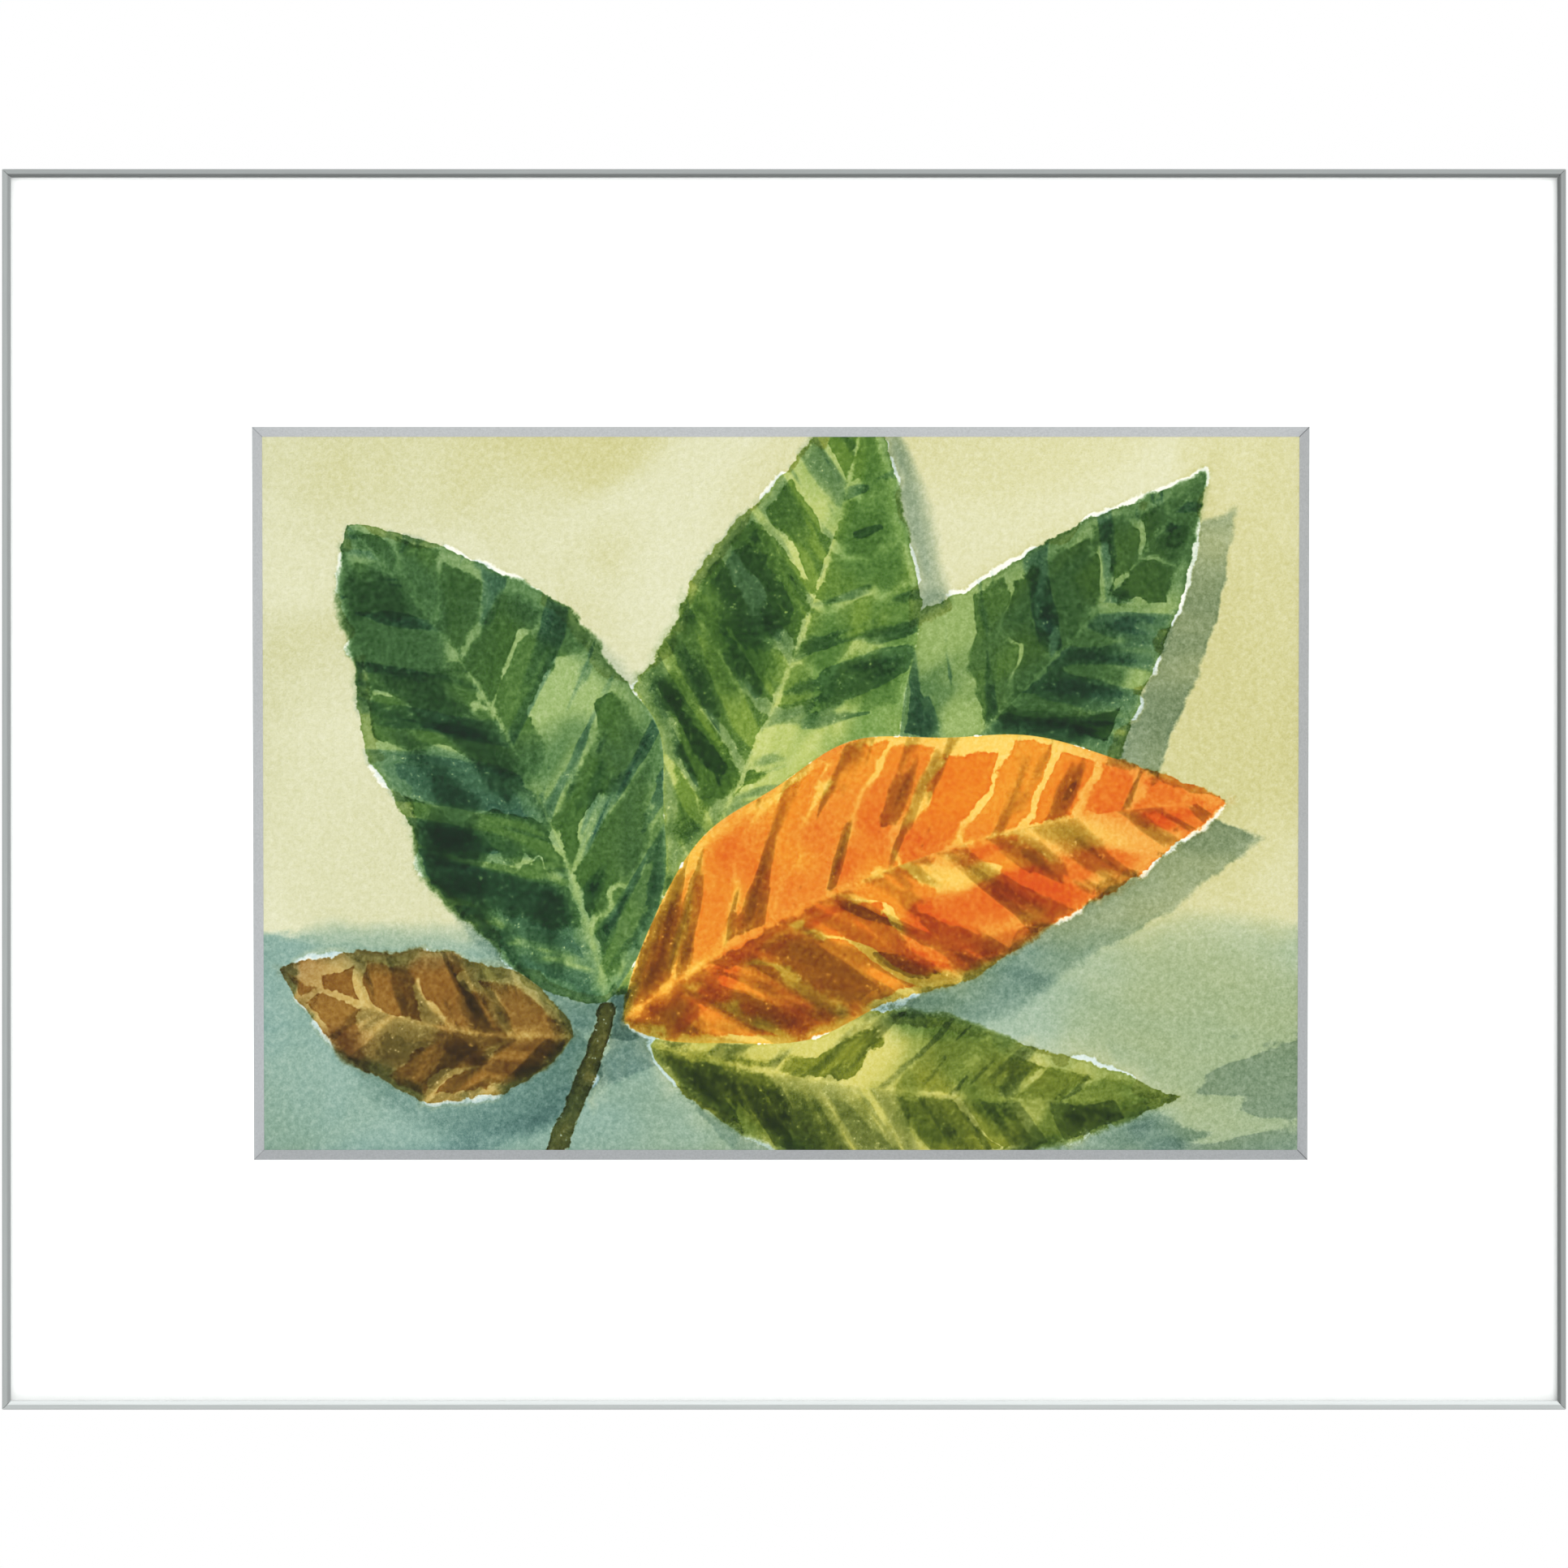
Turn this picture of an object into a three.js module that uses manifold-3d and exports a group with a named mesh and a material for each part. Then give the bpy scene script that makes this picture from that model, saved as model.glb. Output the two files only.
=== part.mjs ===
// A framed watercolour: a slim aluminium section frame holding glass, a bevelled window mat,
// the painted sheet on its mount board, a hardboard back, and the fittings that hold them.
// Millimetres. X runs along the width, +Y goes back into the wall and +Z is up.
// Everything is laid out from the centre of the frame's front face, and the outer group then
// moves it so that the origin is where the nail bears in the middle notch of the hanger.

import * as THREE from 'three';
import { mergeVertices } from 'three/addons/utils/BufferGeometryUtils.js';
import Module from 'manifold-3d';

const wasm = await Module();
wasm.setup();

// ---------------------------------------------------------------------------------------------
// Driving dimensions
// ---------------------------------------------------------------------------------------------

// Frame section. "Across" is measured inwards from the outer side, "depth" back from the face.
const FRAME_WIDTH = 360;
const FRAME_HEIGHT = 285.6;
const FRAME_DEPTH = 20;
const WALL = 1.0;
const LIP_ACROSS = 2.0;
const LIP_THICKNESS = 1.2;
const LIP_CHAMFER_ACROSS = 0.9;
const LIP_CHAMFER_DEPTH = 0.6;
const OUTER_EDGE_RADIUS = 0.3;
const CHANNEL_ACROSS = 10;
const CHANNEL_DEPTH = 4.9;
const WEB = 1.2;
const RETURN_LIP = 1.2;
const CHANNEL_SLOT = 4.6;
const MITRE_GAP = 0.1;

// Sheets in the rebate, from the front.
const SHEET_CLEARANCE = 0.4;
const SHEET_GAP = 0.05;
const GLASS_THICKNESS = 2.0;
const MAT_THICKNESS = 2.3;
const PAPER_THICKNESS = 0.4;
const HINGE_PAPER_THICKNESS = 0.15;
const MOUNT_BOARD_THICKNESS = 1.6;
const BACKING_THICKNESS = 3.0;

// Window in the mat, measured on the front of the mat. It was cut by hand, a little out of true.
const WINDOW_HEIGHT = 169.0;
const WINDOW_TOP_WIDTH = 243.8;
const WINDOW_FOOT_WIDTH = 242.8;
const WINDOW_SHIFT_X = -0.75;
const WINDOW_SHIFT_Z = -0.95;

// Painted sheet, 10 by 7 inches, with the hinges it hangs from.
const PAPER_WIDTH = 254;
const PAPER_HEIGHT = 178;
const HINGE_OFFSET = 86;
const HINGE_TAB_WIDTH = 18;
const HINGE_TAB_BELOW = 12;
const HINGE_TAB_ABOVE = 8;
const HINGE_BAR_WIDTH = 34;
const HINGE_BAR_HEIGHT = 10;

// Linen tape that joins the mat to the mount board along their top edges, folded like a book.
const TAPE_LENGTH = 330;
const TAPE_LEAF = 16;
const TAPE_THICKNESS = 0.16;

// Corner fittings in the channel behind the rebate.
const ANGLE_LEG = 34;
const ANGLE_SIDE_GAP = 0.3;
const ANGLE_THICKNESS = 1.6;
const PLATE_THICKNESS = 0.9;
const SCREW_FROM_CORNER = 22;
const SCREW_DIAMETER = 3.6;
const SCREW_HOLE_DIAMETER = 4.2;
const SCREW_BELOW_BACK = 0.4;
const SCREW_SLOT_WIDTH = 0.7;
const SCREW_SLOT_DEPTH = 1.0;

// Bowed spring clips between the web and the hardboard.
const CLIP_LENGTH = 46;
const CLIP_THICKNESS = 0.6;
const CLIP_WIDTH = 12;
const CLIP_FROM_SIDE = 1.8;
const CLIP_CLEARANCE = 0.1;
const CLIP_OFFSET_LONG = 96;

// Sawtooth hanger snapped into the channel of the top rail.
const HANGER_LENGTH = 60;
const HANGER_HEIGHT = 13;
const HANGER_THICKNESS = 0.9;
const HANGER_GAP = 0.05;
const HANGER_FROM_TOP = 2.5;
const HANGER_CORNER = 2;
const TOOTH_PITCH = 4;
const TOOTH_HEIGHT = 2;
const NOTCHES_EACH_SIDE = 5;
const FOOT_OFFSET = 19;
const FOOT_WIDTH = 6;
const FOOT_THICKNESS = 0.8;
const FOOT_ACROSS = 5.8;
const FOOT_TOE = 4.4;
const FOOT_CLEARANCE = 0.2;

// Rubber dots that keep the foot of the frame off the wall.
const BUMPER_DIAMETER = 9;
const BUMPER_HEIGHT = 2.6;
const BUMPER_RIM = 0.9;
const BUMPER_FLAT_DIAMETER = 5;
const BUMPER_FROM_CORNER = 56;
const BUMPER_GAP = 0.05;

// Straight steps that stand for round stretches.
const EDGE_STEPS = 4;
const CLIP_STEPS = 14;
const HOLE_STEPS = 8;
const HANGER_CORNER_STEPS = 5;
const SCREW_SIDES = 20;
const BUMPER_SIDES = 24;
const BUMPER_STEPS = 5;

// ---------------------------------------------------------------------------------------------
// Derived depths and places
// ---------------------------------------------------------------------------------------------

const SHEET_WIDTH = FRAME_WIDTH - 2 * (WALL + SHEET_CLEARANCE);
const SHEET_HEIGHT = FRAME_HEIGHT - 2 * (WALL + SHEET_CLEARANCE);

const GLASS_FRONT = LIP_THICKNESS + SHEET_GAP;
const MAT_FRONT = GLASS_FRONT + GLASS_THICKNESS + SHEET_GAP;
const PAPER_FRONT = MAT_FRONT + MAT_THICKNESS + SHEET_GAP;
const HINGE_FRONT = PAPER_FRONT + PAPER_THICKNESS + SHEET_GAP;
const MOUNT_BOARD_FRONT = HINGE_FRONT + HINGE_PAPER_THICKNESS + SHEET_GAP;
const BACKING_FRONT = MOUNT_BOARD_FRONT + MOUNT_BOARD_THICKNESS + SHEET_GAP;
const BACKING_REAR = BACKING_FRONT + BACKING_THICKNESS;

const CHANNEL_FLOOR = FRAME_DEPTH - CHANNEL_DEPTH;
const WEB_FRONT = CHANNEL_FLOOR - WEB;
const LIP_UNDERSIDE = FRAME_DEPTH - RETURN_LIP;
const CHANNEL_MIDDLE = CHANNEL_ACROSS / 2;
const SLOT_NEAR = CHANNEL_MIDDLE - CHANNEL_SLOT / 2;
const SLOT_FAR = CHANNEL_MIDDLE + CHANNEL_SLOT / 2;

const WINDOW = [
  new THREE.Vector2(WINDOW_SHIFT_X - WINDOW_FOOT_WIDTH / 2, WINDOW_SHIFT_Z - WINDOW_HEIGHT / 2),
  new THREE.Vector2(WINDOW_SHIFT_X + WINDOW_FOOT_WIDTH / 2, WINDOW_SHIFT_Z - WINDOW_HEIGHT / 2),
  new THREE.Vector2(WINDOW_SHIFT_X + WINDOW_TOP_WIDTH / 2, WINDOW_SHIFT_Z + WINDOW_HEIGHT / 2),
  new THREE.Vector2(WINDOW_SHIFT_X - WINDOW_TOP_WIDTH / 2, WINDOW_SHIFT_Z + WINDOW_HEIGHT / 2),
];

const NAIL = new THREE.Vector3(
  0,
  FRAME_DEPTH + HANGER_GAP + HANGER_THICKNESS / 2,
  FRAME_HEIGHT / 2 - HANGER_FROM_TOP - HANGER_HEIGHT + TOOTH_HEIGHT,
);

// ---------------------------------------------------------------------------------------------
// Finishes
// ---------------------------------------------------------------------------------------------

function finish(color, roughness, metalness) {
  return new THREE.MeshStandardMaterial({ color, roughness, metalness });
}

const ALUMINIUM = finish(0xb0b4b3, 0.42, 1.0);
const ZINC_STEEL = finish(0x9b9d9c, 0.4, 1.0);
const SPRING_STEEL = finish(0x6f7375, 0.35, 1.0);
const GLASS = finish(0xeef4f2, 0.03, 0.0);
const MAT_BOARD = finish(0xf3f5f3, 0.9, 0.0);
const WATERCOLOUR_PAPER = finish(0xdedcb8, 0.95, 0.0);
const HINGE_PAPER = finish(0xf1ede0, 0.95, 0.0);
const LINEN_TAPE = finish(0xe9e4d6, 0.9, 0.0);
const MOUNT_BOARD = finish(0xf0efe8, 0.9, 0.0);
const HARDBOARD = finish(0x7a5638, 0.75, 0.0);
const RUBBER = finish(0x3a3b3d, 0.8, 0.0);

// ---------------------------------------------------------------------------------------------
// Making solids
// ---------------------------------------------------------------------------------------------

function piece(name, geometry, material) {
  const mesh = new THREE.Mesh(geometry, material);
  mesh.name = name;
  return mesh;
}

// A flat outline in X and Z, made into a plate that goes back from frontDepth.
function uprightPlate(shape, frontDepth, thickness, curveSegments = HOLE_STEPS) {
  const plate = new THREE.ExtrudeGeometry(shape, {
    depth: thickness,
    bevelEnabled: false,
    curveSegments,
  });
  return plate.rotateX(Math.PI / 2).translate(0, frontDepth + thickness, 0);
}

function rectangle(width, height) {
  return new THREE.Shape([
    new THREE.Vector2(-width / 2, -height / 2),
    new THREE.Vector2(width / 2, -height / 2),
    new THREE.Vector2(width / 2, height / 2),
    new THREE.Vector2(-width / 2, height / 2),
  ]);
}

function solidFrom(geometry) {
  const bare = geometry.clone();
  bare.deleteAttribute('normal');
  bare.deleteAttribute('uv');
  const merged = mergeVertices(bare);
  return new wasm.Manifold(new wasm.Mesh({
    numProp: 3,
    vertProperties: merged.attributes.position.array,
    triVerts: merged.index.array,
  }));
}

function geometryFrom(solid) {
  const mesh = solid.getMesh();
  const geometry = new THREE.BufferGeometry();
  geometry.setAttribute('position', new THREE.BufferAttribute(mesh.vertProperties, 3));
  geometry.setIndex(new THREE.BufferAttribute(mesh.triVerts, 1));
  geometry.computeVertexNormals();
  return geometry;
}

// ---------------------------------------------------------------------------------------------
// Frame rails
// ---------------------------------------------------------------------------------------------

// The section of the extrusion: a face lip, the outer side, and a C-shaped channel at the back.
function railSection() {
  const r = OUTER_EDGE_RADIUS;
  const inside = CHANNEL_ACROSS - WALL;
  const section = new THREE.Shape();
  section.moveTo(r, 0);
  section.lineTo(LIP_ACROSS - LIP_CHAMFER_ACROSS, 0);
  section.lineTo(LIP_ACROSS, LIP_CHAMFER_DEPTH);
  section.lineTo(LIP_ACROSS, LIP_THICKNESS);
  section.lineTo(WALL, LIP_THICKNESS);
  section.lineTo(WALL, WEB_FRONT);
  section.lineTo(CHANNEL_ACROSS, WEB_FRONT);
  section.lineTo(CHANNEL_ACROSS, FRAME_DEPTH);
  section.lineTo(SLOT_FAR, FRAME_DEPTH);
  section.lineTo(SLOT_FAR, LIP_UNDERSIDE);
  section.lineTo(inside, LIP_UNDERSIDE);
  section.lineTo(inside, CHANNEL_FLOOR);
  section.lineTo(WALL, CHANNEL_FLOOR);
  section.lineTo(WALL, LIP_UNDERSIDE);
  section.lineTo(SLOT_NEAR, LIP_UNDERSIDE);
  section.lineTo(SLOT_NEAR, FRAME_DEPTH);
  section.lineTo(0, FRAME_DEPTH);
  section.lineTo(0, r);
  section.absarc(r, r, r, Math.PI, 1.5 * Math.PI, false);
  return section;
}

// A rail lying along X with its outer side up, both ends cut back at 45 degrees.
function mitredRail(length) {
  const rail = new THREE.ExtrudeGeometry(railSection(), {
    depth: 1,
    bevelEnabled: false,
    curveSegments: EDGE_STEPS,
  });
  const points = rail.attributes.position;
  for (let i = 0; i < points.count; i += 1) {
    const end = points.getZ(i) > 0.5 ? 1 : -1;
    points.setZ(i, end * (length / 2 - points.getX(i) - MITRE_GAP));
  }
  rail.rotateY(Math.PI / 2);
  rail.computeVertexNormals();
  return rail;
}

// ---------------------------------------------------------------------------------------------
// Spring clips
// ---------------------------------------------------------------------------------------------

// A bowed strip along X: its ends bear on the hardboard and its crown under the rail's web.
function springClip() {
  const room = WEB_FRONT - BACKING_REAR - 2 * CLIP_CLEARANCE;
  const rise = room - CLIP_THICKNESS;
  const half = CLIP_LENGTH / 2;
  const radius = (half * half + rise * rise) / (2 * rise);
  const sweep = Math.asin(half / radius);
  const foot = BACKING_REAR + CLIP_CLEARANCE;
  const centre = foot + rise - radius;
  const top = Math.PI / 2;
  const strip = new THREE.Shape();
  strip.absarc(0, centre, radius, top + sweep, top - sweep, true);
  strip.absarc(0, centre, radius + CLIP_THICKNESS, top - sweep, top + sweep, false);
  const clip = new THREE.ExtrudeGeometry(strip, {
    depth: CLIP_WIDTH,
    bevelEnabled: false,
    curveSegments: CLIP_STEPS,
  });
  return clip.translate(0, 0, -CLIP_FROM_SIDE - CLIP_WIDTH);
}

// ---------------------------------------------------------------------------------------------
// Sheets held in the rebate
// ---------------------------------------------------------------------------------------------

// The mat: a plate with a window whose edges slope at 45 degrees, widest at the front.
function windowMat() {
  const centre = new THREE.Vector2(WINDOW_SHIFT_X, WINDOW_SHIFT_Z);
  const sight = WINDOW.map((corner) => new THREE.Vector2(
    corner.x - Math.sign(corner.x - centre.x) * MAT_THICKNESS,
    corner.y - Math.sign(corner.y - centre.y) * MAT_THICKNESS,
  ));
  const sheet = rectangle(SHEET_WIDTH, SHEET_HEIGHT);
  sheet.holes.push(new THREE.Path(sight));
  const mat = uprightPlate(sheet, MAT_FRONT, MAT_THICKNESS);
  const points = mat.attributes.position;
  for (let i = 0; i < points.count; i += 1) {
    const atFront = points.getY(i) < MAT_FRONT + MAT_THICKNESS / 2;
    const inWindow = Math.abs(points.getX(i)) < SHEET_WIDTH / 2 - 1;
    if (atFront && inWindow) {
      points.setX(i, points.getX(i) + Math.sign(points.getX(i) - centre.x) * MAT_THICKNESS);
      points.setZ(i, points.getZ(i) + Math.sign(points.getZ(i) - centre.y) * MAT_THICKNESS);
    }
  }
  mat.computeVertexNormals();
  return mat;
}

// A T of thin paper: its stem is stuck behind the top edge of the sheet, its bar on the board.
function paperHinge() {
  const stem = HINGE_TAB_WIDTH / 2;
  const bar = HINGE_BAR_WIDTH / 2;
  const barFoot = HINGE_TAB_ABOVE;
  const barTop = HINGE_TAB_ABOVE + HINGE_BAR_HEIGHT;
  const tee = new THREE.Shape([
    new THREE.Vector2(-stem, -HINGE_TAB_BELOW),
    new THREE.Vector2(stem, -HINGE_TAB_BELOW),
    new THREE.Vector2(stem, barFoot),
    new THREE.Vector2(bar, barFoot),
    new THREE.Vector2(bar, barTop),
    new THREE.Vector2(-bar, barTop),
    new THREE.Vector2(-bar, barFoot),
    new THREE.Vector2(-stem, barFoot),
  ]);
  return uprightPlate(tee, HINGE_FRONT, HINGE_PAPER_THICKNESS);
}

// A strip folded along its length, one leaf on the back of the mat and one on the mount board.
function matHingeTape() {
  const near = PAPER_FRONT;
  const far = MOUNT_BOARD_FRONT - SHEET_GAP;
  const fold = new THREE.Shape([
    new THREE.Vector2(0, near),
    new THREE.Vector2(TAPE_LEAF, near),
    new THREE.Vector2(TAPE_LEAF, near + TAPE_THICKNESS),
    new THREE.Vector2(TAPE_THICKNESS, near + TAPE_THICKNESS),
    new THREE.Vector2(TAPE_THICKNESS, far - TAPE_THICKNESS),
    new THREE.Vector2(TAPE_LEAF, far - TAPE_THICKNESS),
    new THREE.Vector2(TAPE_LEAF, far),
    new THREE.Vector2(0, far),
  ]);
  const tape = new THREE.ExtrudeGeometry(fold, { depth: TAPE_LENGTH, bevelEnabled: false });
  return tape.translate(0, 0, -TAPE_LENGTH / 2).rotateY(Math.PI / 2);
}

// ---------------------------------------------------------------------------------------------
// Corner fittings
// ---------------------------------------------------------------------------------------------

// An L seen from behind its corner: the corner is at the origin and the legs go +X and -Z.
function angleOutline() {
  const near = WALL + ANGLE_SIDE_GAP;
  const far = CHANNEL_ACROSS - WALL - ANGLE_SIDE_GAP;
  return new THREE.Shape([
    new THREE.Vector2(near, -near),
    new THREE.Vector2(near, -ANGLE_LEG),
    new THREE.Vector2(far, -ANGLE_LEG),
    new THREE.Vector2(far, -far),
    new THREE.Vector2(ANGLE_LEG, -far),
    new THREE.Vector2(ANGLE_LEG, -near),
  ]);
}

function screwPlaces() {
  return [
    new THREE.Vector2(SCREW_FROM_CORNER, -CHANNEL_MIDDLE),
    new THREE.Vector2(CHANNEL_MIDDLE, -SCREW_FROM_CORNER),
  ];
}

function threadedAngle() {
  const outline = angleOutline();
  for (const place of screwPlaces()) {
    const hole = new THREE.Path();
    hole.absarc(place.x, place.y, SCREW_HOLE_DIAMETER / 2, 0, 2 * Math.PI, true);
    outline.holes.push(hole);
  }
  return uprightPlate(outline, LIP_UNDERSIDE - SHEET_GAP - ANGLE_THICKNESS, ANGLE_THICKNESS);
}

function plainPlate() {
  return uprightPlate(angleOutline(), CHANNEL_FLOOR + SHEET_GAP, PLATE_THICKNESS);
}

// A slotted set screw through the threaded angle, its tip on the plain plate.
function setScrew() {
  const tip = CHANNEL_FLOOR + PLATE_THICKNESS + 2 * SHEET_GAP;
  const rear = FRAME_DEPTH - SCREW_BELOW_BACK;
  const shank = new THREE.CylinderGeometry(
    SCREW_DIAMETER / 2, SCREW_DIAMETER / 2, rear - tip, SCREW_SIDES,
  ).translate(0, (tip + rear) / 2, 0);
  const slot = new THREE.BoxGeometry(SCREW_DIAMETER * 2, SCREW_SLOT_DEPTH * 2, SCREW_SLOT_WIDTH)
    .rotateY(Math.PI / 4)
    .translate(0, rear, 0);
  return geometryFrom(solidFrom(shank).subtract(solidFrom(slot)));
}

// ---------------------------------------------------------------------------------------------
// Hanger and bumpers
// ---------------------------------------------------------------------------------------------

// The toothed strip: its lower edge is a row of notches, the middle one on X = 0.
function hangerOutline() {
  const half = HANGER_LENGTH / 2;
  const r = HANGER_CORNER;
  const outline = new THREE.Shape();
  outline.moveTo(-half, 0);
  for (let i = -NOTCHES_EACH_SIDE; i <= NOTCHES_EACH_SIDE; i += 1) {
    outline.lineTo((i - 0.5) * TOOTH_PITCH, 0);
    outline.lineTo(i * TOOTH_PITCH, TOOTH_HEIGHT);
  }
  outline.lineTo((NOTCHES_EACH_SIDE + 0.5) * TOOTH_PITCH, 0);
  outline.lineTo(half, 0);
  outline.lineTo(half, HANGER_HEIGHT - r);
  outline.absarc(half - r, HANGER_HEIGHT - r, r, 0, Math.PI / 2, false);
  outline.lineTo(r - half, HANGER_HEIGHT);
  outline.absarc(r - half, HANGER_HEIGHT - r, r, Math.PI / 2, Math.PI, false);
  return outline;
}

// A hooked foot that goes through the channel's slot and turns up behind its outer lip.
function hangerFoot() {
  const toeFront = LIP_UNDERSIDE - FOOT_CLEARANCE - FOOT_THICKNESS;
  const toeRear = LIP_UNDERSIDE - FOOT_CLEARANCE;
  const root = FRAME_DEPTH + HANGER_GAP + HANGER_THICKNESS / 2;
  const hook = new THREE.Shape([
    new THREE.Vector2(FOOT_ACROSS, root),
    new THREE.Vector2(FOOT_ACROSS - FOOT_THICKNESS, root),
    new THREE.Vector2(FOOT_ACROSS - FOOT_THICKNESS, toeRear),
    new THREE.Vector2(FOOT_ACROSS - FOOT_TOE, toeRear),
    new THREE.Vector2(FOOT_ACROSS - FOOT_TOE, toeFront),
    new THREE.Vector2(FOOT_ACROSS, toeFront),
  ]);
  const foot = new THREE.ExtrudeGeometry(hook, { depth: FOOT_WIDTH, bevelEnabled: false });
  return foot.translate(0, 0, -FOOT_WIDTH / 2).rotateY(Math.PI / 2);
}

function sawtoothHanger() {
  const plate = uprightPlate(
    hangerOutline(), FRAME_DEPTH + HANGER_GAP, HANGER_THICKNESS, HANGER_CORNER_STEPS,
  ).translate(0, 0, FRAME_HEIGHT / 2 - HANGER_FROM_TOP - HANGER_HEIGHT);
  let hanger = solidFrom(plate);
  for (const side of [-1, 1]) {
    const foot = hangerFoot().translate(side * FOOT_OFFSET, 0, FRAME_HEIGHT / 2);
    hanger = hanger.add(solidFrom(foot));
  }
  return geometryFrom(hanger);
}

// A low dome with a flat crown, its base on the back of the rail.
function bumper() {
  const base = FRAME_DEPTH + BUMPER_GAP;
  const rimRadius = BUMPER_DIAMETER / 2;
  const flatRadius = BUMPER_FLAT_DIAMETER / 2;
  const rise = BUMPER_HEIGHT - BUMPER_RIM;
  const profile = [new THREE.Vector2(0, base), new THREE.Vector2(rimRadius, base)];
  for (let i = 0; i <= BUMPER_STEPS; i += 1) {
    const turn = (i / BUMPER_STEPS) * Math.PI / 2;
    profile.push(new THREE.Vector2(
      flatRadius + (rimRadius - flatRadius) * Math.cos(turn),
      base + BUMPER_RIM + rise * Math.sin(turn),
    ));
  }
  profile.push(new THREE.Vector2(0, base + BUMPER_HEIGHT));
  return new THREE.LatheGeometry(profile, BUMPER_SIDES);
}

// ---------------------------------------------------------------------------------------------
// Assembly
// ---------------------------------------------------------------------------------------------

const picture = new THREE.Group();

// Each side is laid out as a top side and turned about Y into its place.
const sides = [
  { name: 'top', turn: 0, length: FRAME_WIDTH, reach: FRAME_HEIGHT / 2, clips: ['left', 'right'] },
  { name: 'right', turn: Math.PI / 2, length: FRAME_HEIGHT, reach: FRAME_WIDTH / 2, clips: [''] },
  { name: 'bottom', turn: Math.PI, length: FRAME_WIDTH, reach: FRAME_HEIGHT / 2, clips: ['right', 'left'] },
  { name: 'left', turn: -Math.PI / 2, length: FRAME_HEIGHT, reach: FRAME_WIDTH / 2, clips: [''] },
];
for (const side of sides) {
  const group = new THREE.Group();
  group.rotation.y = side.turn;
  const rail = piece(`rail_${side.name}`, mitredRail(side.length), ALUMINIUM);
  rail.position.z = side.reach;
  group.add(rail);
  side.clips.forEach((clipName, i) => {
    const suffix = clipName ? `_${clipName}` : '';
    const clip = piece(`spring_clip_${side.name}${suffix}`, springClip(), SPRING_STEEL);
    const along = side.clips.length > 1 ? (2 * i - 1) * CLIP_OFFSET_LONG : 0;
    clip.position.set(along, 0, side.reach);
    group.add(clip);
  });
  picture.add(group);
}

// Each corner is laid out as the top left one and turned about Y into its place.
const corners = [
  { name: 'top_left', turn: 0, x: -1, z: 1 },
  { name: 'top_right', turn: Math.PI / 2, x: 1, z: 1 },
  { name: 'bottom_right', turn: Math.PI, x: 1, z: -1 },
  { name: 'bottom_left', turn: -Math.PI / 2, x: -1, z: -1 },
];
for (const corner of corners) {
  const group = new THREE.Group();
  group.position.set(corner.x * FRAME_WIDTH / 2, 0, corner.z * FRAME_HEIGHT / 2);
  group.rotation.y = corner.turn;
  group.add(piece(`corner_angle_${corner.name}`, threadedAngle(), ZINC_STEEL));
  group.add(piece(`corner_plate_${corner.name}`, plainPlate(), ZINC_STEEL));
  screwPlaces().forEach((place, i) => {
    const screw = piece(`set_screw_${corner.name}_${i + 1}`, setScrew(), ZINC_STEEL);
    screw.position.set(place.x, 0, place.y);
    group.add(screw);
  });
  picture.add(group);
}

const sheetOutline = rectangle(SHEET_WIDTH, SHEET_HEIGHT);
picture.add(piece('glazing', uprightPlate(sheetOutline, GLASS_FRONT, GLASS_THICKNESS), GLASS));
picture.add(piece('window_mat', windowMat(), MAT_BOARD));
picture.add(piece(
  'mount_board',
  uprightPlate(sheetOutline, MOUNT_BOARD_FRONT, MOUNT_BOARD_THICKNESS),
  MOUNT_BOARD,
));
picture.add(piece(
  'backing_board',
  uprightPlate(sheetOutline, BACKING_FRONT, BACKING_THICKNESS),
  HARDBOARD,
));

const paper = piece(
  'artwork_sheet',
  uprightPlate(rectangle(PAPER_WIDTH, PAPER_HEIGHT), PAPER_FRONT, PAPER_THICKNESS),
  WATERCOLOUR_PAPER,
);
paper.position.set(WINDOW_SHIFT_X, 0, WINDOW_SHIFT_Z);
picture.add(paper);

for (const [sideName, side] of [['left', -1], ['right', 1]]) {
  const hinge = piece(`paper_hinge_${sideName}`, paperHinge(), HINGE_PAPER);
  hinge.position.set(WINDOW_SHIFT_X + side * HINGE_OFFSET, 0, WINDOW_SHIFT_Z + PAPER_HEIGHT / 2);
  picture.add(hinge);

  const dot = piece(`bumper_${sideName}`, bumper(), RUBBER);
  dot.position.set(
    side * (FRAME_WIDTH / 2 - BUMPER_FROM_CORNER),
    0,
    CHANNEL_MIDDLE - FRAME_HEIGHT / 2,
  );
  picture.add(dot);
}

const tape = piece('mat_hinge_tape', matHingeTape(), LINEN_TAPE);
tape.position.z = SHEET_HEIGHT / 2 - SHEET_CLEARANCE;
picture.add(tape);

picture.add(piece('sawtooth_hanger', sawtoothHanger(), ZINC_STEEL));

const framedPicture = new THREE.Group();
picture.position.copy(NAIL).negate();
framedPicture.add(picture);

export default framedPicture;
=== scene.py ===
"""The finished look of a small framed watercolour in a slim aluminium frame.

The picture hangs from the nail notch at the origin: X runs along its width, +Y goes back into the
wall and +Z is up. Lengths are in metres, and MM turns millimetres into them. Patterns and the
painting are laid out in millimetres.
"""

import functools
import logging
import math
from collections.abc import Iterable, Sequence
from dataclasses import dataclass, field
from enum import Enum
from typing import TypeVar

import bmesh
import bpy
import numpy as np
from mathutils import Matrix, Vector


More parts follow.
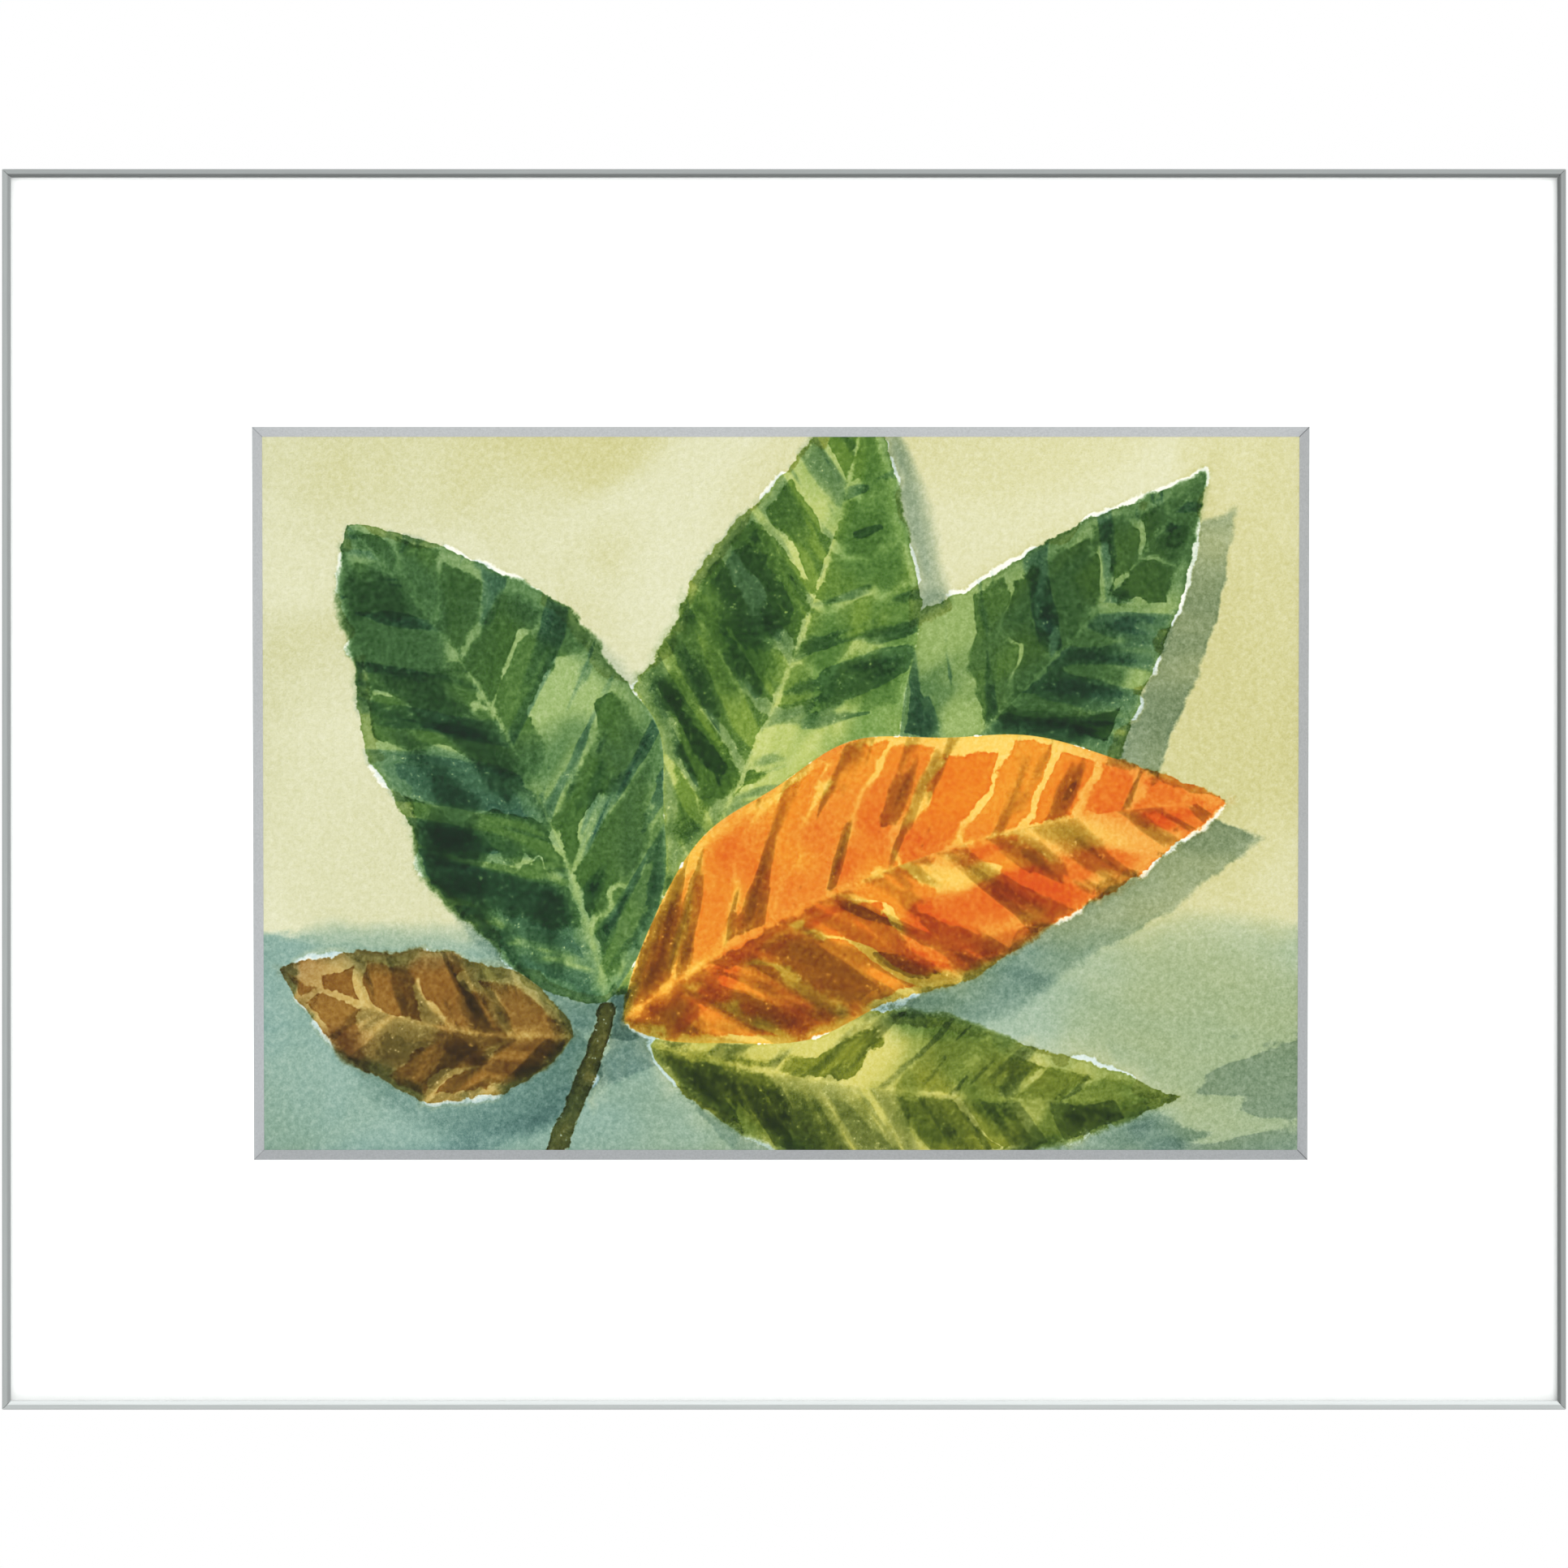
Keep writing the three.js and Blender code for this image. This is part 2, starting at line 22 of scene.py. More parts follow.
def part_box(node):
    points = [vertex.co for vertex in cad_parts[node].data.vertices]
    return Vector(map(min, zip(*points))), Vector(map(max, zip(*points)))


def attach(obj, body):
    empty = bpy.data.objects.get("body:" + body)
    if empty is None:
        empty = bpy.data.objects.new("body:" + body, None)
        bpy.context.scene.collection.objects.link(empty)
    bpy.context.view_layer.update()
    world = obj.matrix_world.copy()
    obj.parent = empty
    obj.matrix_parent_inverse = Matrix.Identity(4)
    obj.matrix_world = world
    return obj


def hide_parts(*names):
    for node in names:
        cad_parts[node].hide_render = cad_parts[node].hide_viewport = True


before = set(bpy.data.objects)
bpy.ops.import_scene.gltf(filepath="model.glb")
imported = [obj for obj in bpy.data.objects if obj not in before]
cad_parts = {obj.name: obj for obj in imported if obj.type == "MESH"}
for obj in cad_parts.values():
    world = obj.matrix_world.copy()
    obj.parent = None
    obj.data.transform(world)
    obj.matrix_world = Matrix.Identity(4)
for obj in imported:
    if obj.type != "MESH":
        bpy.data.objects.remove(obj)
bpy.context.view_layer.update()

MM = 0.001
QUARTER_TURN = math.pi / 2
SAME_PLACE = 1e-6  # points closer than this, in metres, are one point
BAKE_MAP = "OFBake"
ROOT = "root"
PRINCIPLED = "BSDF_PRINCIPLED"
NOISE_SPREAD = (0.3, 0.7)  # where most of a noise's values lie
STEEP_SPREAD = (0.34, 0.66)  # a narrower share of them, for more contrast

log = logging.getLogger("framed_watercolour")

Colour = tuple[float, float, float, float]
Input = bpy.types.NodeSocket | float | Sequence[float]
Inputs = dict[str, Input]
Item = TypeVar("Item")


def srgb(red: float, green: float, blue: float) -> Colour:
    """Turns display values from 0 to 255 into a linear colour.

    Args:
        red: Display red.
        green: Display green.
        blue: Display blue.

    Returns:
        The linear colour with an alpha of 1.
    """

    def linear(value: float) -> float:
        """Undoes the display curve for one channel."""
        share = value / 255
        return share / 12.92 if share <= 0.04045 else ((share + 0.055) / 1.055) ** 2.4

    return (linear(red), linear(green), linear(blue), 1.0)


# ----------------------------------------------------------------------------------------------
# Node trees
# ----------------------------------------------------------------------------------------------


class Kind(Enum):
    """What a group's socket carries."""

    NUMBER = "NodeSocketFloat"
    VECTOR = "NodeSocketVector"
    COLOUR = "NodeSocketColor"


# For each kind: the Mix node's name for it, its first value's input and its output.
MIX_PLACES: dict[Kind, tuple[str, int, int]] = {
    Kind.NUMBER: ("FLOAT", 2, 0),
    Kind.VECTOR: ("VECTOR", 4, 1),
    Kind.COLOUR: ("RGBA", 6, 2),
}


@dataclass(frozen=True)
class Bench:
    """Adds, sets and links the nodes of one tree."""

    tree: bpy.types.NodeTree

    def feed(self, socket: bpy.types.NodeSocket, value: Input) -> None:
        """Links a socket to another one, or sets its own value.

        Args:
            socket: The input to fill.
            value: An output socket, a number or a colour.
        """
        if isinstance(value, bpy.types.NodeSocket):
            self.tree.links.new(value, socket)
        else:
            socket.default_value = value

    def add(
        self, kind: str, inputs: dict[str | int, Input] | None = None, **settings: object
    ) -> bpy.types.Node:
        """Adds a node.

        Args:
            kind: The node's type name.
            inputs: Values or sockets by input name or index.
            **settings: Properties to set before the inputs.

        Returns:
            The new node.
        """
        node = self.tree.nodes.new(kind)
        for name, value in settings.items():
            setattr(node, name, value)
        for key, value in (inputs or {}).items():
            self.feed(node.inputs[key], value)
        return node

    def math(
        self, operation: str, first: Input, second: Input = 0.0, third: Input = 0.0, clamp: bool = False
    ) -> bpy.types.NodeSocket:
        """Adds a Math node.

        Args:
            operation: Blender's name for the operation.
            first: The first operand.
            second: The second operand.
            third: The third operand, for the few operations that take one.
            clamp: Whether the result stays between 0 and 1.

        Returns:
            The result's socket.
        """
        node = self.add("ShaderNodeMath", {0: first, 1: second, 2: third}, operation=operation)
        node.use_clamp = clamp
        return node.outputs[0]

    def total(self, *terms: Input) -> bpy.types.NodeSocket:
        """Adds two or more values up."""
        return functools.reduce(lambda a, b: self.math("ADD", a, b), terms)

    def product(self, *factors: Input) -> bpy.types.NodeSocket:
        """Multiplies two or more values."""
        return functools.reduce(lambda a, b: self.math("MULTIPLY", a, b), factors)

    def largest(self, *terms: Input) -> bpy.types.NodeSocket:
        """Takes the largest of two or more values."""
        return functools.reduce(lambda a, b: self.math("MAXIMUM", a, b), terms)

    def minus(self, value: Input, less: Input) -> bpy.types.NodeSocket:
        """Takes one value from another."""
        return self.math("SUBTRACT", value, less)

    def size(self, value: Input) -> bpy.types.NodeSocket:
        """Drops a value's sign."""
        return self.math("ABSOLUTE", value)

    def line(self, value: Input, slope: Input, start: Input) -> bpy.types.NodeSocket:
        """Carries a value along a straight line: slope times the value, plus the start."""
        return self.math("MULTIPLY_ADD", value, slope, start)

    def blend(self, first: Input, second: Input, share: float) -> bpy.types.NodeSocket:
        """Blends two values, with a fixed share of the second."""
        return self.line(first, 1 - share, self.product(second, share))

    def mix(
        self, factor: Input, first: Input, second: Input, blend: str = "MIX", kind: Kind = Kind.COLOUR
    ) -> bpy.types.NodeSocket:
        """Mixes two colours, vectors or numbers.

        Args:
            factor: How much of the second value is taken.
            first: The first value.
            second: The second value.
            blend: Blender's name for the blend of two colours.
            kind: What is mixed.

        Returns:
            The mixed value's socket.
        """
        data_type, place, output = MIX_PLACES[kind]
        node = self.add("ShaderNodeMix", data_type=data_type)
        if kind is Kind.COLOUR:
            node.blend_type = blend
        for index, value in ((0, factor), (place, first), (place + 1, second)):
            self.feed(node.inputs[index], value)
        return node.outputs[output]

    def remap(
        self, value: Input, low: Input, high: Input, to_low: Input = 0.0, to_high: Input = 1.0
    ) -> bpy.types.NodeSocket:
        """Carries a value from one range to another along a smooth step.

        Args:
            value: The value.
            low: Where the step starts.
            high: Where the step ends; it may be below low.
            to_low: The result at low.
            to_high: The result at high.

        Returns:
            The result's socket.
        """
        node = self.add(
            "ShaderNodeMapRange",
            {"Value": value, "From Min": low, "From Max": high, "To Min": to_low, "To Max": to_high},
            interpolation_type="SMOOTHSTEP",
        )
        return node.outputs[0]

    def stretch(self, value: Input, low: float, high: float) -> bpy.types.NodeSocket:
        """Spreads the values from low to high over 0 to 1 along a straight line."""
        node = self.add("ShaderNodeMapRange", {"Value": value, "From Min": low, "From Max": high})
        return node.outputs[0]

    def noise(
        self,
        place: Input,
        scale: float,
        detail: float = 3.0,
        roughness: float = 0.55,
        distortion: float = 0.0,
    ) -> bpy.types.NodeSocket:
        """Adds a noise, about 0.5 on average.

        Args:
            place: Where it is read.
            scale: Features for each unit of place.
            detail: Octaves.
            roughness: How strong the finer octaves are.
            distortion: How far the noise folds into itself.

        Returns:
            The noise value's socket.
        """
        inputs = {
            "Vector": place,
            "Scale": scale,
            "Detail": detail,
            "Roughness": roughness,
            "Distortion": distortion,
        }
        return self.add("ShaderNodeTexNoise", inputs).outputs[0]

    def attribute(self, name: str, output: str = "Fac") -> bpy.types.NodeSocket:
        """Reads numbers that the piece's mesh holds on its points."""
        return self.add("ShaderNodeAttribute", attribute_name=name).outputs[output]

    def scaled(self, vector: Input, factors: Sequence[float]) -> bpy.types.NodeSocket:
        """Multiplies a vector by one factor for each axis."""
        return self.add("ShaderNodeVectorMath", {0: vector, 1: factors}, operation="MULTIPLY").outputs[0]

    def place_mm(self) -> bpy.types.NodeSocket:
        """Reads the point on the piece, in millimetres from the origin."""
        own = self.add("ShaderNodeTexCoord").outputs["Object"]
        return self.scaled(own, (1 / MM, 1 / MM, 1 / MM))

    def place_from(self, centre: Vector) -> bpy.types.NodeSocket:
        """Reads the point on the piece, in millimetres from a centre in metres."""
        back = tuple(-value / MM for value in centre)
        return self.add("ShaderNodeVectorMath", {0: self.place_mm(), 1: back}, operation="ADD").outputs[0]

    def combine(self, x: Input, y: Input, z: Input) -> bpy.types.NodeSocket:
        """Makes a vector of three numbers."""
        return self.add("ShaderNodeCombineXYZ", {0: x, 1: y, 2: z}).outputs[0]

    def parts(self, vector: Input) -> Sequence[bpy.types.NodeSocket]:
        """Takes a vector apart into its three numbers."""
        return self.add("ShaderNodeSeparateXYZ", {0: vector}).outputs

    def use(self, group: bpy.types.NodeTree, inputs: Inputs) -> Sequence[bpy.types.NodeSocket]:
        """Places a shared group.

        Args:
            group: The group's tree.
            inputs: Values or sockets by input name.

        Returns:
            The group's outputs.
        """
        node = self.tree.nodes.new("ShaderNodeGroup")
        node.node_tree = group
        for name, value in inputs.items():
            self.feed(node.inputs[name], value)
        return node.outputs


@dataclass
class Group:
    """A shared node group that is being built."""

    name: str
    inputs: dict[str, Kind]
    outputs: dict[str, Kind]
    bench: Bench = field(init=False)
    entry: bpy.types.Node = field(init=False)
    exit: bpy.types.Node = field(init=False)

    def __post_init__(self) -> None:
        """Makes the tree with its sockets."""
        tree = bpy.data.node_groups.new(self.name, "ShaderNodeTree")
        for way, kinds in (("INPUT", self.inputs), ("OUTPUT", self.outputs)):
            for name, kind in kinds.items():
                tree.interface.new_socket(name=name, in_out=way, socket_type=kind.value)
        self.bench = Bench(tree)
        self.entry = tree.nodes.new("NodeGroupInput")
        self.exit = tree.nodes.new("NodeGroupOutput")

    def read(self, name: str) -> bpy.types.NodeSocket:
        """Gives the socket that carries one of the group's inputs."""
        return self.entry.outputs[name]

    def give(self, name: str, value: Input) -> None:
        """Sets one of the group's outputs."""
        self.bench.feed(self.exit.inputs[name], value)


@functools.cache
def drawn_lines() -> bpy.types.NodeTree:
    """Builds the fine lengthwise lines and broad smudges of drawn or rolled metal.

    Returns:
        The group, which takes a place in millimetres with its long axis squeezed.
    """
    group = Group("drawn_lines", {"Place": Kind.VECTOR}, {"Lines": Kind.NUMBER, "Smudge": Kind.NUMBER})
    bench, place = group.bench, group.read("Place")
    fine = bench.noise(place, 9.0, detail=4.0, roughness=0.7)
    coarse = bench.noise(place, 2.6, detail=2.0)
    smudge = bench.noise(place, 0.11, detail=3.0)
    group.give("Lines", bench.stretch(bench.blend(fine, coarse, 0.35), *NOISE_SPREAD))
    group.give("Smudge", bench.stretch(smudge, *NOISE_SPREAD))
    return bench.tree


@functools.cache
def paper_fibre() -> bpy.types.NodeTree:
    """Builds the faint clouding, felt marks and specks of paper and board.

    Returns:
        The group, which takes a place in millimetres.
    """
    outputs = {name: Kind.NUMBER for name in ("Cloud", "Felt", "Specks")}
    group = Group("paper_fibre", {"Place": Kind.VECTOR}, outputs)
    bench, place = group.bench, group.read("Place")
    cloud = bench.noise(place, 0.045, detail=2.0)
    felt = bench.noise(place, 2.2, detail=3.0, roughness=0.65)
    cells = bench.add("ShaderNodeTexVoronoi", {"Vector": place, "Scale": 0.5, "Randomness": 1.0})
    group.give("Cloud", bench.stretch(cloud, *NOISE_SPREAD))
    group.give("Felt", bench.stretch(felt, *NOISE_SPREAD))
    group.give("Specks", bench.remap(cells.outputs["Distance"], 0.09, 0.03))
    return bench.tree


@functools.cache
def paper_tooth() -> bpy.types.NodeTree:
    """Builds the rounded bumps of cold-pressed paper, from 0 in the hollows to 1 on the peaks.

    Returns:
        The group, which takes a place in millimetres.
    """
    group = Group("paper_tooth", {"Place": Kind.VECTOR}, {"Height": Kind.NUMBER})
    bench, place = group.bench, group.read("Place")
    bumps = bench.noise(place, 0.8, detail=2.0, roughness=0.5)
    grit = bench.noise(place, 2.6, detail=2.0, roughness=0.6)
    group.give("Height", bench.stretch(bench.blend(bumps, grit, 0.5), *STEEP_SPREAD))
    return bench.tree


@functools.cache
def wash_film() -> bpy.types.NodeTree:
    """Builds the film that a wash of watercolour leaves.

    Its outline strays with the brush's wobble and bites into the paper's tooth. It is darker where
    it gathers at the outline and in the hollows, and a dry brush skips the peaks.

    Returns:
        The group, which gives back the colour seen through the film.
    """
    numbers = ("Outline", "Density", "Softness", "Edge", "Edge Width", "Ragged", "Dry", "Tooth", "Wobble")
    inputs = {"Under": Kind.COLOUR, "Pigment": Kind.COLOUR} | {name: Kind.NUMBER for name in numbers}
    group = Group("wash_film", inputs, {"Seen": Kind.COLOUR})
    bench, read = group.bench, group.read
    bite = bench.product(bench.minus(read("Tooth"), 0.5), 0.42)
    distance = bench.total(read("Outline"), bench.line(read("Wobble"), read("Ragged"), bite))
    half = bench.product(read("Softness"), 0.5)
    inside = bench.remap(distance, half, bench.product(half, -1.0))
    rim = bench.remap(distance, bench.product(read("Edge Width"), -1.0), 0.0)
    gathers = bench.math("MULTIPLY_ADD", read("Wobble"), 0.45, 0.75, clamp=True)
    edged = bench.line(bench.product(rim, rim, gathers), read("Edge"), 1.0)
    peak = bench.minus(1.0, read("Dry"))
    brushed = bench.remap(read("Tooth"), peak, bench.total(peak, 0.09), 1.0, 0.0)
    settled = bench.line(read("Tooth"), -0.5, 1.25)
    amount = bench.product(read("Density"), inside, edged, brushed, settled)
    film = bench.add("ShaderNodeGamma", {"Color": read("Pigment"), "Gamma": amount}).outputs[0]
    group.give("Seen", bench.mix(1.0, read("Under"), film, "MULTIPLY"))
    return bench.tree


@dataclass(frozen=True)
class Wash:
    """One transparent wash of watercolour.

    The pigment is the colour that white paper takes at a density of 1. The outline is the distance
    in millimetres to the wash's edge, negative inside, and softness and edge width are millimetres.
    """

    pigment: Input
    outline: Input
    density: Input
    softness: Input
    edge: float
    edge_width: float = 1.0
    ragged: float = 0.7
    dry: float = 0.0

    def over(self, bench: Bench, under: Input, paper: Inputs) -> bpy.types.NodeSocket:
        """Lays the wash over a colour, on paper whose tooth and wobble are given by input name."""
        own = {name.replace("_", " ").title(): value for name, value in vars(self).items()}
        return bench.use(wash_film(), own | paper | {"Under": under})[0]


class LeafWashes:
    """The washes of one leaf, from the first pale one to the last dark accents, as a group.

    Its Place holds three distances in millimetres: along the midrib, across it towards the half in
    shade, and to the outline, negative inside. A field is the strip between two side veins.
    """

    colours: tuple[str, ...] = ("Under", "Light", "Warm", "Mid", "Dark")
    numbers: tuple[str, ...] = ("Length", "Seed", "Tooth", "Wobble")
    vein_pitch: float = 14.0
    vein_lean: float = 0.75
    vein_drift: float = 30.0
    half_apart: float = 31.0
    skipped_share: float = 0.15
    well_outside: float = 20.0
    shade_spread: float = 60.0
    stroke_spread: float = 34.0
    stroke_shade_gain: float = 1.6

    def __init__(self) -> None:
        """Starts the group and makes the patterns that its washes follow."""
        inputs = {"Place": Kind.VECTOR} | {name: Kind.COLOUR for name in self.colours}
        inputs |= {name: Kind.NUMBER for name in self.numbers}
        self.group = Group("painted_leaf", inputs, {"Seen": Kind.COLOUR})
        self.bench, self.read = self.group.bench, self.group.read
        bench = self.bench
        self.along, self.across, self.outline = bench.parts(self.read("Place"))
        reach = bench.size(self.across)
        self.half = bench.math("SIGN", self.across)
        self.share = bench.math("DIVIDE", self.along, self.read("Length"))
        self.rising = bench.line(reach, -self.vein_lean, self.along)
        self.patch = self.drawn_out(self.along, 0.026, 0.042, roughness=0.5, distortion=0.8)
        self.streak = self.drawn_out(self.rising, 0.13, 0.034, roughness=0.45, distortion=0.35)
        self.lost = bench.remap(self.patch, 0.36, 0.62, 0.4, 5.0)
        self.found = bench.remap(self.patch, 0.4, 0.62, 4.0, 0.4)
        self.off_midrib = bench.minus(bench.line(self.share, -0.8, 1.2), reach)

    def drawn_out(
        self, length: Input, lengthwise: float, crosswise: float, roughness: float, distortion: float
    ) -> bpy.types.NodeSocket:
        """Makes a noise that is drawn out along the leaf or its veins.

        Args:
            length: The distance that it is drawn out along.
            lengthwise: Features for each millimetre that way.
            crosswise: Features for each millimetre across the midrib.
            roughness: How strong the finer octaves are.
            distortion: How far it folds into itself.

        Returns:
            The noise value's socket.
        """
        bench = self.bench
        along, across = bench.product(length, lengthwise), bench.product(self.across, crosswise)
        place = bench.combine(along, across, self.read("Seed"))
        return bench.noise(place, 1.0, detail=2.0, roughness=roughness, distortion=distortion)

    def fields(self) -> tuple[bpy.types.NodeSocket, bpy.types.NodeSocket]:
        """Numbers the fields on both sides of the midrib.

        Returns:
            The place in the field, 0 at a vein and 0.5 half way to the next, and a chance from 0 to
            1 that is the field's own.
        """
        bench = self.bench
        drift = bench.product(bench.minus(self.patch, 0.5), self.vein_drift)
        turn = bench.math("DIVIDE", bench.total(self.rising, drift), self.vein_pitch)
        side = bench.product(self.half, self.half_apart)
        number = bench.total(bench.math("FLOOR", turn), side, self.read("Seed"))
        drawn = bench.add("ShaderNodeTexWhiteNoise", {"W": number}, noise_dimensions="1D")
        return bench.math("PINGPONG", turn, 0.5), drawn.outputs["Value"]

    def pale_wash(self) -> Wash:
        """Mixes the first wash, with bare streaks and an outline that is lost in places.

        Returns:
            The wash.
        """
        bench, patch = self.bench, self.patch
        bare = bench.product(bench.remap(self.streak, 0.66, 0.7), bench.remap(patch, 0.5, 0.56, 0.0, 2.5))
        leaning = bench.line(bench.minus(self.share, 0.5), 0.3, patch)
        return Wash(
            pigment=bench.mix(bench.remap(leaning, 0.36, 0.64), self.read("Light"), self.read("Warm")),
            outline=bench.total(self.outline, bare),
            density=bench.remap(patch, 0.3, 0.7, 0.85, 1.2),
            softness=bench.remap(patch, 0.5, 0.66, 0.35, 3.2),
            edge=0.4,
            edge_width=1.2,
        )

    def field_wash(self, crest: Input, chance: Input) -> Wash:
        """Mixes the second wash, which fills most fields and leaves the veins open.

        Args:
            crest: The place in the field.
            chance: The field's own chance.

        Returns:
            The wash.
        """
        bench, patch = self.bench, self.patch
        open_share = bench.line(self.streak, 0.5, -0.15)
        between = bench.product(bench.minus(open_share, crest), self.vein_pitch)
        short = bench.line(chance, 4.0, bench.total(self.outline, 0.7))
        filled = bench.largest(between, self.off_midrib, short)
        skipped = bench.product(bench.math("LESS_THAN", chance, self.skipped_share), self.well_outside)
        return Wash(
            pigment=bench.mix(bench.remap(patch, 0.4, 0.6), self.read("Warm"), self.read("Mid")),
            outline=bench.total(filled, skipped),
            density=bench.line(chance, 0.4, 0.6),
            softness=self.lost,
            edge=0.35,
            ragged=0.8,
        )

    def shade_wash(self) -> Wash:
        """Mixes the third wash, a soft glaze over the half in shade.

        Returns:
            The wash.
        """
        bench = self.bench
        pooled = bench.product(bench.minus(0.5, self.patch), self.shade_spread)
        shaded = bench.largest(bench.minus(0.5, self.across), bench.total(self.outline, 0.5), pooled)
        return Wash(self.read("Mid"), shaded, density=0.8, softness=5.0, edge=0.0, ragged=1.0)

    def strokes(self) -> bpy.types.NodeSocket:
        """Shapes the dark strokes, which thin out towards the tip and in the light.

        Returns:
            The distance to their outline.
        """
        bench = self.bench
        chosen = bench.product(bench.minus(0.51, self.streak), self.stroke_spread)
        faded = bench.total(chosen, bench.line(self.share, 5.0, -2.6))
        shaded = bench.minus(faded, bench.product(self.half, self.stroke_shade_gain))
        return bench.largest(shaded, bench.total(self.outline, 0.6), self.off_midrib)

    def stroke_wash(self, strokes: Input) -> Wash:
        """Mixes the fourth wash, the dark strokes along the veins."""
        density = self.bench.remap(self.streak, 0.5, 0.7, 0.7, 1.05)
        return Wash(self.read("Dark"), strokes, density, self.found, edge=0.3, ragged=0.8, dry=0.08)

    def accent_wash(self, strokes: Input, chance: Input) -> Wash:
        """Mixes the fifth wash, the darkest accents inside the strokes.

        Args:
            strokes: The distance to the strokes' outline.
            chance: The field's own chance.

        Returns:
            The wash.
        """
        return Wash(
            pigment=self.read("Dark"),
            outline=self.bench.line(self.share, 3.0, self.bench.total(strokes, 1.9)),
            density=self.bench.line(chance, 0.7, 0.35),
            softness=self.lost,
            edge=0.25,
            edge_width=0.8,
            ragged=1.0,
            dry=0.1,
        )

    def finish(self) -> bpy.types.NodeTree:
        """Lays the washes over each other.

        Returns:
            The group, which gives back the colour seen through the leaf.
        """
        crest, chance = self.fields()
        strokes = self.strokes()
        washes = (
            self.pale_wash(),
            self.field_wash(crest, chance),
            self.shade_wash(),
            self.stroke_wash(strokes),
            self.accent_wash(strokes, chance),
        )
        seen = self.read("Under")
        for wash in washes:
            seen = wash.over(self.bench, seen, {"Tooth": self.read("Tooth"), "Wobble": self.read("Wobble")})
        self.group.give("Seen", seen)
        return self.bench.tree


@functools.cache
def painted_leaf() -> bpy.types.NodeTree:
    """Builds the leaf's group once, for all the leaves."""
    return LeafWashes().finish()


# ----------------------------------------------------------------------------------------------
# Finishes
# ----------------------------------------------------------------------------------------------


class Grain(Enum):
    """The way a metal's drawing or rolling lines run, as a squeeze of its long axis."""

    ALONG_X = (0.012, 1.0, 1.0)
    ALONG_Z = (1.0, 1.0, 0.012)
    NONE = (1.0, 1.0, 1.0)


@dataclass
class Surface:
    """A material with one Principled shader, while it is being made."""

    name: str
    material: bpy.types.Material = field(init=False)
    bench: Bench = field(init=False)

    def __post_init__(self) -> None:
        """Makes the material."""
        self.material = bpy.data.materials.new(self.name)
        self.material.use_nodes = True
        self.bench = Bench(self.material.node_tree)

    def lay_on(self, inputs: Inputs, height: Input | None = None, depth: float = 0.0) -> bpy.types.Material:
        """Sets the shader and raises the surface.

        Args:
            inputs: Values or sockets by the shader's input names.
            height: The height map, from 0 to 1, or nothing for a smooth surface.
            depth: What a height of 1 stands for.

        Returns:
            The finished material.
        """
        bench = self.bench
        shader = next(node for node in bench.tree.nodes if node.type == PRINCIPLED)
        for name, value in inputs.items():
            bench.feed(shader.inputs[name], value)
        if height is not None:
            raised = bench.add("ShaderNodeBump", {"Strength": 1.0, "Distance": depth, "Height": height})
            bench.feed(shader.inputs["Normal"], raised.outputs[0])
        return self.material


def matt_paper(bench: Bench, colour: Input, felt: Input) -> Inputs:
    """Gives the shader inputs of matt paper, a little rougher where its felt marks stand up."""
    return {"Base Color": colour, "Roughness": bench.line(felt, 0.08, 0.86), "Specular IOR Level": 0.0}


@dataclass(frozen=True)
class Metal:
    """A bare or plated metal with lines from drawing or rolling and a little handling."""

    name: str
    dark: Colour
    light: Colour
    grain: Grain
    roughness: tuple[float, float]
    line_depth: float = 0.004 * MM
    smudge_share: float = 0.35

    def make(self) -> bpy.types.Material:
        """Builds the material.

        Returns:
            The material.
        """
        surface = Surface(self.name)
        bench = surface.bench
        place = bench.scaled(bench.place_mm(), self.grain.value)
        lines, smudge = bench.use(drawn_lines(), {"Place": place})
        tone = bench.blend(lines, smudge, self.smudge_share)
        low, high = self.roughness
        inputs = {
            "Base Color": bench.mix(tone, self.dark, self.light),
            "Roughness": bench.line(smudge, high - low, low),
            "Metallic": 1.0,
        }
        return surface.lay_on(inputs, lines, self.line_depth)


@dataclass(frozen=True)
class Board:
    """Paper or board with faint clouds, felt marks and specks."""

    name: str
    dark: Colour
    light: Colour
    speck: Colour
    felt_depth: float = 0.012 * MM
    speck_share: float = 0.25

    def make(self) -> bpy.types.Material:
        """Builds the material.

        Returns:
            The material.
        """
        surface = Surface(self.name)
        bench = surface.bench
        cloud, felt, specks = bench.use(paper_fibre(), {"Place": bench.place_mm()})
        plain = bench.mix(bench.blend(cloud, felt, 0.5), self.dark, self.light)
        colour = bench.mix(bench.product(specks, self.speck_share), plain, self.speck)
        return surface.lay_on(matt_paper(bench, colour, felt), felt, self.felt_depth)


